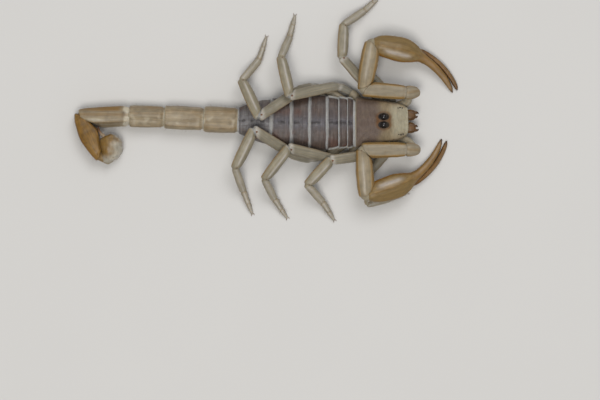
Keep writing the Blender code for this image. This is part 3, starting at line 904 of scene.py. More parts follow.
@dataclass(frozen=True)
class ShellFinish:
    """Chitin: a base tone with cloudy and lengthwise variation, and four marks laid over it.

    mark, pale, rim and dark are the colours of the marks that a shell carries. cloud is how strong
    the cloudy variation is; streaks run at across and along lines in each millimetre. grain is the
    height of the fine grain in millimetres and grain_size its size. depth is how far it glows.
    """

    name: str
    slot: Slot
    base: Colour
    mark: Colour
    pale: Colour
    rim: Colour
    dark: Colour
    roughness: float = 0.4
    cloud: float = 0.16
    across: float = 5.0
    along: float = 0.5
    streaks: float = 0.17
    grain: float = 0.008
    grain_size: float = 0.09
    depth: float = 0.18
    gloss: float = 0.3

    def material(self) -> bpy.types.Material:
        """Make the material.

        Returns:
            The material.
        """
        board = Board(self.name)
        lay = board.add("ShaderNodeAttribute", {}, attribute_name="lay").outputs["Vector"]
        scale = (self.across, self.across, self.along)
        stretched = board.add("ShaderNodeMapping", {"Vector": lay, "Scale": scale}).outputs["Vector"]
        clouds = board.noise(1.2, 4.0)
        lines = board.span(board.noise(1.0, 4.0, stretched), 0.36, 0.64, 0.0, 1.0)
        light = tuple(min(1.0, part * (1 + self.cloud * 1.6)) for part in self.base)
        deep = tuple(part * (1 - self.cloud * 1.6) for part in self.base)
        tone = board.blend(board.span(clouds, 0.3, 0.7, 0.0, 1.0), deep, light)
        wobble = board.span(clouds, 0.3, 0.7, 0.82, 1.15)
        for name in MARKS:
            tone = board.blend(board.sum("MULTIPLY", board.mark(name), wobble), tone, getattr(self, name))
        shade = board.blend(lines, (1 - self.streaks,) * 3, (1 + self.streaks * 0.6,) * 3)
        rough = board.span(board.noise(0.35), 0.3, 0.7, self.roughness - 0.05, self.roughness + 0.1)
        board.set(Base_Color=board.blend(1.0, tone, shade, "MULTIPLY"), Roughness=rough)
        cells = {"Vector": board.place, "Scale": 1 / (self.grain_size * MM)}
        pits = board.add("ShaderNodeTexVoronoi", cells, feature="SMOOTH_F1").outputs["Distance"]
        height = board.sum("ADD", board.sum("MULTIPLY", pits, -0.5), board.sum("MULTIPLY", lines, 0.32))
        board.relief(height, 1.0, self.grain)
        board.set(Specular_IOR_Level=self.gloss, IOR=1.5, Subsurface_Weight=self.depth)
        board.set(Subsurface_Radius=(1.0, 0.7, 0.45), Subsurface_Scale=0.6 * MM)
        return board.material


@dataclass(frozen=True)
class EyeFinish:
    """Glossy black lens with a warm deep tone."""

    name: str
    slot: Slot
    colour: Colour
    warm: Colour
    roughness: float = 0.1

    def material(self) -> bpy.types.Material:
        """Make the material.

        Returns:
            The material.
        """
        board = Board(self.name)
        clouds = board.noise(0.4)
        board.set(Base_Color=board.blend(board.span(clouds, 0.35, 0.7, 0.0, 1.0), self.colour, self.warm))
        board.set(Roughness=board.span(clouds, 0.3, 0.7, self.roughness, self.roughness + 0.06))
        board.relief(board.noise(0.05), 0.3, 0.002)
        board.set(Coat_Weight=0.2, Coat_Roughness=0.1, Specular_IOR_Level=0.4)
        return board.material


@dataclass(frozen=True)
class BristleFinish:
    """Stiff hairs, paler towards the tip, that take the tone of the shell they stand on."""

    name: str
    slot: Slot
    root: Colour
    tip: Colour
    dark: Colour
    roughness: float = 0.42

    def material(self) -> bpy.types.Material:
        """Make the material.

        Returns:
            The material.
        """
        board = Board(self.name)
        clouds = board.noise(0.8)
        tone = board.blend(board.mark("dark"), board.blend(board.mark("reach"), self.root, self.tip), self.dark)
        board.set(Base_Color=board.blend(board.span(clouds, 0.3, 0.7, 0.0, 0.35), tone, self.dark))
        board.set(Roughness=board.span(clouds, 0.3, 0.7, self.roughness - 0.06, self.roughness + 0.1))
        board.relief(board.noise(0.02), 0.4, 0.003)
        return board.material


@dataclass(frozen=True)
class FloorFinish:
    """Plain pale floor, with the faintest mottling."""

    name: str
    colour: Colour

    def material(self) -> bpy.types.Material:
        """Make the material.

        Returns:
            The material.
        """
        board = Board(self.name)
        low = tuple(part * 0.97 for part in self.colour)
        board.set(Base_Color=board.blend(board.noise(25.0), low, self.colour), Roughness=0.85)
        return board.material


Finish = ShellFinish | EyeFinish | BristleFinish


class Coat:
    """Hairs that stand on shells, gathered into one mesh.

    Each hair is unwrapped to a small patch at its root's place on an unwrap of the shells: every
    shell has a square of its own on the map.
    """

    sides = 3
    squares = 10
    patch = 0.003
    steps = np.array((0.0, 0.25, 0.5, 0.75, 1.0))
    taper = np.array((1.0, 0.85, 0.62, 0.36, 0.06))
    low = np.array(CAD_BOX[0]) / MM + (-0.4, -0.4, 0.01)
    high = np.array(CAD_BOX[1]) / MM + (0.4, 0.4, 0.05)

    def __init__(self, seed: int) -> None:
        """Start with nothing.

        Args:
            seed: Start of its random draws.
        """
        self.dice = np.random.default_rng(seed)
        self.parts: list[tuple[Array, Array, Array]] = []
        self.places: dict[int, int] = {}

    def map_place(self, shell: Shell, rows: Array, columns: Array) -> Array:
        """Where roots lie on the unwrap of the shells.

        Args:
            shell: The shell they stand on.
            rows: Row of each root.
            columns: Column of each root.

        Returns:
            Map positions from 0 to 1.
        """
        square = self.places.setdefault(id(shell), len(self.places))
        corner = np.array((square % self.squares, square // self.squares)) / self.squares
        inside = np.stack([columns / shell.columns, shell.shares[rows]], -1)
        return corner + (0.06 + 0.88 * inside) / self.squares

    def grow(
        self, shell: Shell, chance: Array | float, count: int, length: Pair, thickness: float = 0.02,
        lean: float = 50.0, tone: float = 0.0,
    ) -> None:
        """Grow hairs on a shell.

        Args:
            shell: The shell.
            chance: How likely a hair is at each point of its grid.
            count: How many hairs.
            length: Shortest and longest, in millimetres.
            thickness: Diameter at the root.
            lean: How far they lean towards the far end, in degrees.
            tone: How dark they are, from 0 to 1.
        """
        area = (shell.girth / shell.columns)[:, None] * np.gradient(shell.run[:, 0])[:, None]
        odds = (np.clip(chance, 0, None) * np.abs(area) * np.ones(shell.columns)).reshape(-1)
        pick = self.dice.choice(odds.size, count, p=odds / odds.sum())
        self.plant(shell, *np.divmod(pick, shell.columns), length, thickness, lean, tone)

    def line_up(
        self, shell: Shell, place: float, drift: float, spacing: float, length: Pair, thickness: float = 0.03,
        lean: float = 30.0, tone: float = 0.0, start: float = 0.06, end: float = 0.94,
    ) -> None:
        """Stand a row of hairs along a line on a shell.

        Args:
            shell: The shell.
            place: Where round the piece the row starts.
            drift: How far it moves round along the piece.
            spacing: Distance between hairs.
            length: Shortest and longest.
            thickness: Diameter at the root.
            lean: Lean towards the far end, in degrees.
            tone: How dark they are.
            start: Share of the length where the row begins.
            end: Share of the length where it ends.
        """
        count = max(2, int((end - start) * shell.line.length / spacing))
        shares = np.linspace(start, end, count) + self.dice.normal(size=count) * 0.15 / count
        self.plant(shell, *shell.spots(place, drift, shares), length, thickness, lean, tone)

    def plant(
        self, shell: Shell, rows: Array, columns: Array, length: Pair, thickness: float, lean: float, tone: float,
    ) -> None:
        """Make the hairs that stand at some places of a shell.

        Args:
            shell: The shell.
            rows: Row of each hair on its grid.
            columns: Column of each hair.
            length: Shortest and longest.
            thickness: Diameter at the root.
            lean: Lean towards the far end, in degrees.
            tone: How dark they are.
        """
        count = len(rows)
        out, onward = shell.outward[rows, columns], shell.onward[rows, columns]
        aside = np.cross(out, onward)
        tilt = radians(lean) + self.dice.normal(size=count)[:, None] * 0.16
        spin = self.dice.normal(size=count)[:, None] * 0.3
        way = unit(out * np.cos(tilt) + (onward * np.cos(spin) + aside * np.sin(spin)) * np.sin(tilt))
        size = self.dice.uniform(*length, size=count)[:, None]
        roots = (shell.points[rows, columns] - out * 0.03)[:, None]
        bend = ((onward * 0.8 - out * 0.45) * size * 0.3)[:, None]
        spine = roots + way[:, None] * (self.steps[:, None] * size[:, None]) + bend * (self.steps**2)[:, None]
        one = unit(np.cross(way, out + 0.01 * aside))
        spokes = fan(self.sides, one, np.cross(way, one))
        points = spine[:, :, None] + spokes[:, None] * (thickness / 2 * self.taper)[:, None, None]
        shade = np.clip(shell.marks["dark"][rows, columns] * 0.7 + tone, 0, 1)
        self.parts.append((np.clip(points, self.low, self.high), shade, self.map_place(shell, rows, columns)))

    def mesh(self, name: str) -> bpy.types.Mesh:
        """Join every hair into one mesh.

        Args:
            name: The mesh's name.

        Returns:
            The mesh, with its map OFBake.
        """
        points, shade, places = (np.concatenate(part) for part in zip(*self.parts))
        mesh = posts(name, points)
        put_values(mesh, "reach", np.tile(np.repeat(self.steps, self.sides), len(points)))
        put_values(mesh, "dark", np.repeat(shade, points[0, ..., 0].size))
        inside = np.stack(np.meshgrid(np.linspace(0, 1, self.sides), self.steps), -1)
        flat = (places[:, None, None] + (inside - 0.5) * self.patch).reshape(-1, 2)
        corner = np.zeros(len(mesh.loops), dtype=np.int32)
        mesh.loops.foreach_get("vertex_index", corner)
        layer = mesh.uv_layers.new(name="OFBake")
        layer.data.foreach_set("uv", flat[corner].astype(np.float32).reshape(-1))
        return mesh


class Beads:
    """Small granules and knobs that stand on shells, joined into one mesh.

    levels holds the rings of a dome, as radius and height.
    """

    sides = 8
    levels = ((1.0, -0.35), (0.98, 0.1), (0.72, 0.62), (0.3, 0.92))

    def __init__(self) -> None:
        """Start with nothing."""
        self.dice = np.random.default_rng(3)
        self.parts: list[Array] = []

    def stand(self, shell: Shell, rows: Array, columns: Array, radius: Array, rise: float = 0.7) -> None:
        """Stand domes on a shell.

        Args:
            shell: The shell.
            rows: Row of each dome on its grid.
            columns: Column of each dome.
            radius: Their radii.
            rise: Height as a share of the radius.
        """
        out = shell.outward[rows, columns]
        one = unit(np.cross(out, out[:, [1, 2, 0]] + 0.3))
        spokes = fan(self.sides, one, np.cross(out, one))
        size = radius[:, None, None]
        rings = [size * (spokes * wide + out[:, None] * tall * rise) for wide, tall in self.levels]
        self.parts.append(shell.points[rows, columns][:, None, None] + np.stack(rings, 1))

    def knob(self, shell: Shell, share: float, place: float, radius: float, rise: float) -> None:
        """Stand one dome at a share of a shell's length and a place round it."""
        self.stand(shell, *shell.spots(place, 0.0, np.array([share])), np.array([radius]), rise)

    def along(
        self, shell: Shell, place: float, spacing: float, radius: float, drift: float = 0.0, start: float = 0.06,
        end: float = 0.94,
    ) -> None:
        """Stand a row of granules along a line on a shell.

        Args:
            shell: The shell.
            place: Where round the piece the row starts.
            spacing: Distance between granules.
            radius: Their usual radius.
            drift: How far the row moves round along the piece.
            start: Share of the length where it begins.
            end: Share of the length where it ends.
        """
        count = max(2, int((end - start) * shell.line.length / spacing))
        spots = shell.spots(place, drift, np.linspace(start, end, count))
        self.stand(shell, *spots, radius * self.dice.uniform(0.75, 1.2, count))

    def scatter(self, shell: Shell, chance: Array, count: int, radius: Pair) -> None:
        """Scatter granules over a shell.

        Args:
            shell: The shell.
            chance: How likely a granule is at each point of its grid.
            count: How many granules.
            radius: Smallest and largest.
        """
        odds = np.clip(chance, 0, None).reshape(-1)
        pick = self.dice.choice(odds.size, count, p=odds / odds.sum())
        self.stand(shell, *np.divmod(pick, shell.columns), self.dice.uniform(*radius, size=count))

    def mesh(self, name: str) -> bpy.types.Mesh:
        """Join every granule into one mesh.

        Args:
            name: The mesh's name.

        Returns:
            The mesh.
        """
        points = np.concatenate(self.parts)
        points[..., 2] = np.maximum(points[..., 2], 0.0)
        mesh = posts(name, points)
        put_values(mesh, "lay", points.reshape(-1, 3))
        for mark in MARKS:
            put_values(mesh, mark, np.zeros(points[..., 0].size))
        return mesh


CARAPACE = ShellFinish(
    "shield_shell", Slot.SHIELD, base=(0.222, 0.17, 0.1), mark=(0.113, 0.079, 0.061), pale=(0.335, 0.3, 0.212),
    rim=(0.13, 0.062, 0.024), dark=(0.004, 0.002, 0.0015), across=1.2, along=3.2, streaks=0.14, cloud=0.1,
    grain=0.012, grain_size=0.11, roughness=0.46, gloss=0.2,
)
BACK_SHELL = ShellFinish(
    "back_shell", Slot.BACK, base=(0.072, 0.049, 0.038), mark=(0.103, 0.095, 0.104), pale=(0.285, 0.278, 0.27),
    rim=(0.095, 0.047, 0.033), dark=(0.026, 0.02, 0.02), across=0.5, along=6.5, streaks=0.24, cloud=0.14,
    grain=0.01, grain_size=0.1,
)
TAIL = ShellFinish(
    "tail_shell", Slot.TAIL, base=(0.262, 0.207, 0.13), mark=(0.22, 0.158, 0.085), pale=(0.5, 0.445, 0.34),
    rim=(0.215, 0.125, 0.042), dark=(0.085, 0.052, 0.022), along=0.35, streaks=0.14, cloud=0.13, roughness=0.38,
)
TAIL_END = ShellFinish(
    "tail_end_shell", Slot.TAIL_END, base=(0.195, 0.103, 0.02), mark=(0.23, 0.132, 0.035), pale=(0.34, 0.26, 0.15),
    rim=(0.185, 0.075, 0.01), dark=(0.055, 0.025, 0.01), along=0.3, streaks=0.22, cloud=0.14, roughness=0.36,
)
BULB = ShellFinish(
    "bulb_shell", Slot.BULB, base=(0.36, 0.325, 0.26), mark=(0.205, 0.118, 0.03), pale=(0.43, 0.4, 0.34),
    rim=(0.2, 0.13, 0.06), dark=(0.09, 0.045, 0.02), across=3.0, along=0.7, streaks=0.14, cloud=0.15,
    grain=0.005, roughness=0.3, depth=0.3,
)
STING = ShellFinish(
    "sting_shell", Slot.STING, base=(0.27, 0.2, 0.13), mark=(0.14, 0.06, 0.022), pale=(0.3, 0.25, 0.2),
    rim=(0.2, 0.1, 0.04), dark=(0.035, 0.014, 0.008), across=4.0, along=0.6, streaks=0.2, grain=0.003,
    roughness=0.24, gloss=0.6,
)
# Its pale also colours the painted highlight along the forearms' crests.
PALP = ShellFinish(
    "pincer_limb_shell", Slot.PINCER, base=(0.262, 0.21, 0.133), mark=(0.252, 0.212, 0.15), pale=(0.43, 0.38, 0.31),
    rim=(0.28, 0.15, 0.024), dark=(0.1, 0.06, 0.025), across=3.0, along=0.4, streaks=0.14, cloud=0.11,
    roughness=0.36,
)
# Its pale also colours the painted highlight on the hands' inner facets.
HAND = ShellFinish(
    "hand_shell", Slot.PINCER, base=(0.225, 0.15, 0.06), mark=(0.195, 0.128, 0.048), pale=(0.43, 0.37, 0.31),
    rim=(0.22, 0.1, 0.012), dark=(0.065, 0.03, 0.011), across=3.0, streaks=0.14, cloud=0.11, roughness=0.36,
)
FINGER = ShellFinish(
    "finger_shell", Slot.FINGER, base=(0.15, 0.07, 0.014), mark=(0.225, 0.15, 0.075), pale=(0.25, 0.19, 0.12),
    rim=(0.09, 0.038, 0.012), dark=(0.04, 0.018, 0.009), across=4.0, along=0.4, streaks=0.2, roughness=0.34,
)
# Its pale also colours the painted highlight along the shanks' backs.
LEG = ShellFinish(
    "leg_shell", Slot.LEG, base=(0.25, 0.216, 0.148), mark=(0.185, 0.176, 0.15), pale=(0.44, 0.405, 0.355),
    rim=(0.285, 0.195, 0.095), dark=(0.12, 0.07, 0.035), across=5.5, along=0.3, streaks=0.15, cloud=0.1,
    roughness=0.37, depth=0.22,
)
UNDERSIDE = ShellFinish(
    "underside_shell", Slot.UNDERSIDE, base=(0.31, 0.268, 0.19), mark=(0.25, 0.2, 0.13), pale=(0.4, 0.36, 0.28),
    rim=(0.23, 0.15, 0.07), dark=(0.1, 0.06, 0.03), across=3.0, along=0.6, streaks=0.14,
)
JAW = ShellFinish(
    "jaw_shell", Slot.JAW, base=(0.15, 0.078, 0.026), mark=(0.085, 0.037, 0.011), pale=(0.34, 0.3, 0.22),
    rim=(0.1, 0.045, 0.016), dark=(0.045, 0.018, 0.008), across=3.0, along=0.8, streaks=0.22, roughness=0.33,
)
COMB = ShellFinish(
    "comb_shell", Slot.COMB, base=(0.4, 0.36, 0.28), mark=(0.34, 0.29, 0.2), pale=(0.47, 0.44, 0.37),
    rim=(0.3, 0.22, 0.12), dark=(0.15, 0.1, 0.05), across=3.0, along=1.0, roughness=0.46,
)
SKIN = ShellFinish(
    "joint_skin", Slot.MEMBRANE, base=(0.28, 0.272, 0.25), mark=(0.29, 0.245, 0.165), pale=(0.37, 0.36, 0.345),
    rim=(0.21, 0.13, 0.048), dark=(0.1, 0.08, 0.06), across=4.0, along=4.0, streaks=0.1, cloud=0.14,
    grain=0.01, grain_size=0.14, roughness=0.5, depth=0.3,
)
GRANULE = ShellFinish(
    "granule_shell", Slot.PINCER, base=(0.185, 0.132, 0.078), mark=(0.2, 0.13, 0.06), pale=(0.3, 0.25, 0.18),
    rim=(0.15, 0.08, 0.03), dark=(0.06, 0.03, 0.015), across=3.0, along=3.0, streaks=0.1, roughness=0.34,
)
KNUCKLE = ShellFinish(
    "knuckle_shell", Slot.LEG, base=(0.15, 0.06, 0.028), mark=(0.1, 0.04, 0.02), pale=(0.3, 0.2, 0.12),
    rim=(0.12, 0.05, 0.02), dark=(0.04, 0.02, 0.01), across=4.0, along=4.0, streaks=0.1, roughness=0.28,
)
LENS = EyeFinish("eye_lens", Slot.EYE, colour=(0.004, 0.0035, 0.003), warm=(0.012, 0.007, 0.005))
BRISTLE = BristleFinish(
    "bristle", Slot.SETAE, root=(0.22, 0.13, 0.06), tip=(0.34, 0.27, 0.18), dark=(0.07, 0.035, 0.02),
)
FLOOR = FloorFinish("floor", colour=(0.6, 0.585, 0.56))


class Model:
    """What the whole animal shares: its shells, granules, knuckles and bristles."""

    def __init__(self) -> None:
        """Start with an empty model."""
        self.granules = Beads()
        self.knuckles = Beads()
        self.coats = {name: Coat(seed) for seed, name in enumerate(("body", "tail", "pincers", "legs"), 21)}
        self.shells: dict[str, Shell] = {}
        self.materials: dict[str, bpy.types.Material] = {}

    def show(self, name: str, mesh: bpy.types.Mesh, finish: Finish, *nodes: str) -> None:
        """Put a piece on the model.

        Args:
            name: The piece's name.
            mesh: Its mesh.
            finish: Its finish, whose material is made once, and which names its slot in the record.
            nodes: The solids that it stands for.
        """
        if finish.name not in self.materials:
            self.materials[finish.name] = finish.material()
        thing = bpy.data.objects.new(name, mesh)
        mesh.materials.clear()
        mesh.materials.append(self.materials[finish.name])
        bpy.context.scene.collection.objects.link(thing)
        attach(thing, BODY)
        if nodes:
            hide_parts(*nodes)
        log.info("%s: %d faces", name, len(mesh.polygons))

    def dress(self, name: str, shell: Shell, finish: Finish, *nodes: str, bulge: float = 0.05) -> None:
        """Show a shell as a piece, with ends that stand out by a bulge, and remember it."""
        self.show(name, shell.mesh(name, bulge), finish, *nodes)
        self.shells[name] = shell


@dataclass
class Part:
    """A part of the animal, which is built onto the model that all parts share."""

    model: Model


@dataclass
class HeadShield(Part):
    """The head shield: furrows, rims, eye mound, main eyes and side eyes.

    side_eyes holds, for each small eye of a front corner, how far ahead and inwards it stands and its
    radius. lens is the profile of a main eye, as radius and height.
    """

    rows: int = 150
    columns: int = 144
    granules: int = 900
    eye_seat: float = 0.64
    eye_floor: float = 0.4
    eye_growth: float = 1.12
    eye_lean: float = 0.28
    rear: float = 5.55
    side_eyes: tuple[Triple, ...] = ((0.0, 0.0, 0.12), (-0.36, 0.08, 0.13), (-0.7, 0.18, 0.1))
    side_eye_front: float = 13.15
    lens: tuple[Pair, ...] = (
        (0.0, 1.0), (0.3, 0.955), (0.56, 0.83), (0.78, 0.63), (0.93, 0.37), (1.0, 0.05), (0.985, -0.14),
        (0.9, -0.3), (0.7, -0.5), (0.0, -0.6),
    )

    def build(self) -> None:
        """Build the shield and all its eyes."""
        self.eyes = {side: Solid(f"eye_{side.word}") for side in Side}
        line = Line.along_body(Solid("carapace"))
        solid = Solid("carapace", "eye_left", "eye_right")
        shell = Shell.wrap(solid, line, UP, self.rows, self.columns, soften=4.0, along=0.16, outside=True)
        self.shape(shell)
        self.colour(shell)
        self.model.dress("head_shield", shell, CARAPACE, "carapace")
        self.build_eyes()
        self.build_side_eyes(shell)
        x, y, top = self.places(shell)
        chance = top * (0.15 + ease(np.abs(y), 1.2, 3.0)) * ease(np.abs(x - 10.1) + np.abs(y), 1.0, 2.0)
        chance = chance * (0.4 + ease(shell.waves(4, 0.7), -0.2, 0.6))
        self.model.granules.scatter(shell, chance, self.granules, (0.018, 0.034))
        self.model.coats["body"].grow(shell, top * (0.2 + ease(x, 12.5, 13.8)), 90, (0.25, 0.6), 0.022, 40.0)

    def places(self, shell: Shell) -> tuple[Array, ...]:
        """Measure the shield's points.

        Args:
            shell: The shield.

        Returns:
            Place along the body, distance from the midline, and how much a point faces up.
        """
        x = shell.points[..., 0]
        middle = np.mean([eye.centre for eye in self.eyes.values()], axis=0)
        lean = (x - self.rear) / (middle[0] - self.rear)
        return x, shell.points[..., 1] - middle[1] * lean * 0.42 - middle[1] * 0.58, ease(shell.upward, 0.1, 0.5)

    def shape(self, shell: Shell) -> None:
        """Press the furrows and the eyes' seats, and raise the rims.

        Args:
            shell: The shield.
        """
        x, y, top = self.places(shell)
        side = np.abs(y)
        furrow = -0.06 * bell(y, 0.26) * (ease(x, 9.3, 8.6) * ease(x, 5.5, 6.3) + 0.6 * ease(x, 10.9, 11.4))
        between_eyes = -0.1 * bell(y, 0.13) * bell(x - 10.1, 0.75)
        curve = 1.0 + 0.62 * (8.7 - x) + 0.12 * (8.7 - x) ** 2
        hind = -0.035 * bell(side - curve, 0.42) * ease(x, 8.9, 8.2) * ease(x, 5.8, 6.4)
        brow = 0.05 * bell(side - 1.55, 0.28) * bell(x - 11.2, 1.3)
        rims = 0.05 * ease(x, 13.72, 13.92) + 0.04 * ease(x, 5.85, 5.62)
        shell.push((furrow + between_eyes + hind + brow + rims + 0.018 * shell.waves(1, 0.9)) * top)
        shell.ridge(Ridge((0.025, 0.475), 0.07, 0.13, beads=0.3, tint=0.35))
        for eye in self.eyes.values():
            away = np.linalg.norm((shell.points - eye.centre)[..., :2], axis=-1)
            shell.push(0.035 * bell(away - 0.7, 0.12) * top)
            gap = shell.points - eye.centre
            reach = np.linalg.norm(gap, axis=-1, keepdims=True)
            inside = (reach < self.eye_seat) & (shell.points[..., 2:] > eye.centre[2] - 0.3)
            seat = eye.centre + gap * (self.eye_floor / np.maximum(reach, 0.01))
            shell.move_to(np.where(inside, seat, shell.points))

    def colour(self, shell: Shell) -> None:
        """Lay the shield's marks.

        Args:
            shell: The shield.
        """
        x, y, top = self.places(shell)
        side = np.abs(y)
        wander = shell.waves(2, 1.1)
        shell.tint("mark", ease(x + 0.28 * side + 0.15 * wander, 11.0, 9.3) * (1 - 0.35 * ease(side, 2.9, 3.9)))
        shell.tint("pale", ease(x + 0.2 * wander, 10.7, 12.0) * (1 - 0.6 * ease(side, 1.2, 2.9)) * top * 0.95)
        for amount in (0.9 * ease(x, 13.55, 13.8), 0.7 * ease(x, 5.78, 5.66), 0.35 * ease(shell.upward, 0.0, -0.5)):
            shell.tint("pale", amount)
        for eye in self.eyes.values():
            away = np.linalg.norm((shell.points - eye.centre)[..., :2] * (0.7, 1.0), axis=-1)
            shell.tint("dark", ease(away, 0.7, 0.54))
            shell.tint("rim", 0.75 * bell(away - 0.74, 0.16) * top)
        for at, width in ((11.05, 0.5), (9.1, 0.42)):
            shell.tint("rim", 0.6 * bell(x - at, 0.3) * bell(side, width) * top)

    def build_eyes(self) -> None:
        """Build the two main eyes, domed lenses on a low collar."""
        for side, eye in self.eyes.items():
            name = f"eye_{side.word}"
            radius = float(np.ptp(eye.points[:, 2]) / 2) * self.eye_growth
            axis = unit(np.array((0.02, side.value * self.eye_lean, 1.0)))
            lens = turned(f"{name}_lens", self.lens, eye.centre, axis, radius)
            self.model.show(f"{name}_lens", lens, LENS, name)

    def build_side_eyes(self, shell: Shell) -> None:
        """Build three small eyes at each front corner.

        Args:
            shell: The shield.
        """
        beads = Beads()
        rows = shell.points[..., 0].mean(1)
        for side in Side:
            for ahead, inward, radius in self.side_eyes:
                share = shell.shares[np.abs(rows - (self.side_eye_front + ahead)).argmin()]
                beads.knob(shell, share, side.place(0.055 + inward * 0.12), radius, 0.95)
        self.model.show("side_eyes", beads.mesh("side_eyes"), LENS)


@dataclass
class Jaws(Part):
    """The two jaws: a stout base, a fixed finger and a moving finger with dark teeth.

    sections holds shares of the length, half width, and height towards the back and the belly.
    fingers holds, for each finger, how far short of the jaw's tip it ends and how far outwards it
    stands. teeth are shares of a finger and radii.
    """

    base_share: float = 0.74
    sections: Sections = (
        (0, 0.8, 0.75, 0.75), (0.25, 0.95, 0.95, 0.92), (0.7, 1.0, 1.0, 1.0), (0.92, 0.85, 0.85, 0.85),
        (1, 0.55, 0.6, 0.6),
    )
    finger_sections: Sections = (
        (0, 0.27, 0.3, 0.3), (0.5, 0.2, 0.22, 0.22), (0.85, 0.11, 0.12, 0.12), (1, 0.035, 0.04, 0.04),
    )
    fingers: tuple[tuple[str, float, float], ...] = (("fixed", 0.16, -0.3), ("moving", 0.0, 0.38))
    teeth: tuple[Pair, ...] = ((0.3, 0.06), (0.47, 0.085), (0.64, 0.065), (0.78, 0.045))

    def build(self) -> None:
        """Build both jaws."""
        teeth = Beads()
        for side in Side:
            node = f"chelicera_{side.word}"
            solid = Solid(node)
            low, high = solid.points.min(0), solid.points.max(0)
            middle, level = (low[1] + high[1]) / 2, (low[2] + high[2]) / 2
            half, tall = (high[1] - low[1]) / 2 * 1.08, (high[2] - low[2]) / 2 * 0.95
            knuckle = np.array((low[0] + (high[0] - low[0]) * self.base_share, middle, level))
            line = Line([(low[0], middle, level - 0.1), knuckle, knuckle + 0.25 * AHEAD])
            base = Shell.sweep(line, np.array(self.sections) * (1, half, tall, tall), UP, 40, 40, 2.6)
            base.push(0.02 * base.waves(7, 0.5))
            base.ridge(Ridge((0.15, 0.35), 0.05, 0.12, tint=0.5))
            base.tint("mark", ease(base.share, 0.55, 1.0) * 0.8)
            self.model.dress(f"jaw_{side.word}", base, JAW, node)
            chance = ease(base.upward, 0.0, 0.6) * (0.2 + base.share)
            self.model.coats["body"].grow(base, chance, 26, (0.2, 0.45), lean=35.0)
            for name, short, offset in self.fingers:
                self.build_finger(teeth, side, name, knuckle, high[0] - short, offset)
        self.model.show("jaw_teeth", teeth.mesh("jaw_teeth"), STING)

    def build_finger(
        self, teeth: Beads, side: Side, name: str, knuckle: Array, tip: float, offset: float,
    ) -> None:
        """Build one finger of a jaw, with teeth along its inner edge.

        Args:
            teeth: Where the teeth are gathered.
            side: Which jaw.
            name: Which finger.
            knuckle: Where the jaw's base ends.
            tip: Where the finger's tip is, along the body.
            offset: How far beside the jaw's middle it stands, outwards.
        """
        shift, run = side.value * offset, tip - knuckle[0]
        bend = -side.value * np.sign(offset)
        moves = (
            (-0.1, shift, 0), (run * 0.45, shift * 1.12, -0.02), (run * 0.8, shift * 0.95, -0.1),
            (run, shift * 0.6 + bend * 0.04, -0.2),
        )
        line = Line(knuckle + np.array(moves), 0.05)
        finger = Shell.sweep(line, self.finger_sections, UP, 26, 20)
        finger.tint("dark", ease(finger.share, 0.3, 0.75)).tint("rim", 0.6)
        self.model.dress(f"jaw_{side.word}_{name}_finger", finger, JAW)
        place = 0.0 if bend * np.cross(line.way(0.5), UP)[1] > 0 else 0.5
        for share, size in self.teeth:
            teeth.knob(finger, share, place, size, 1.5)


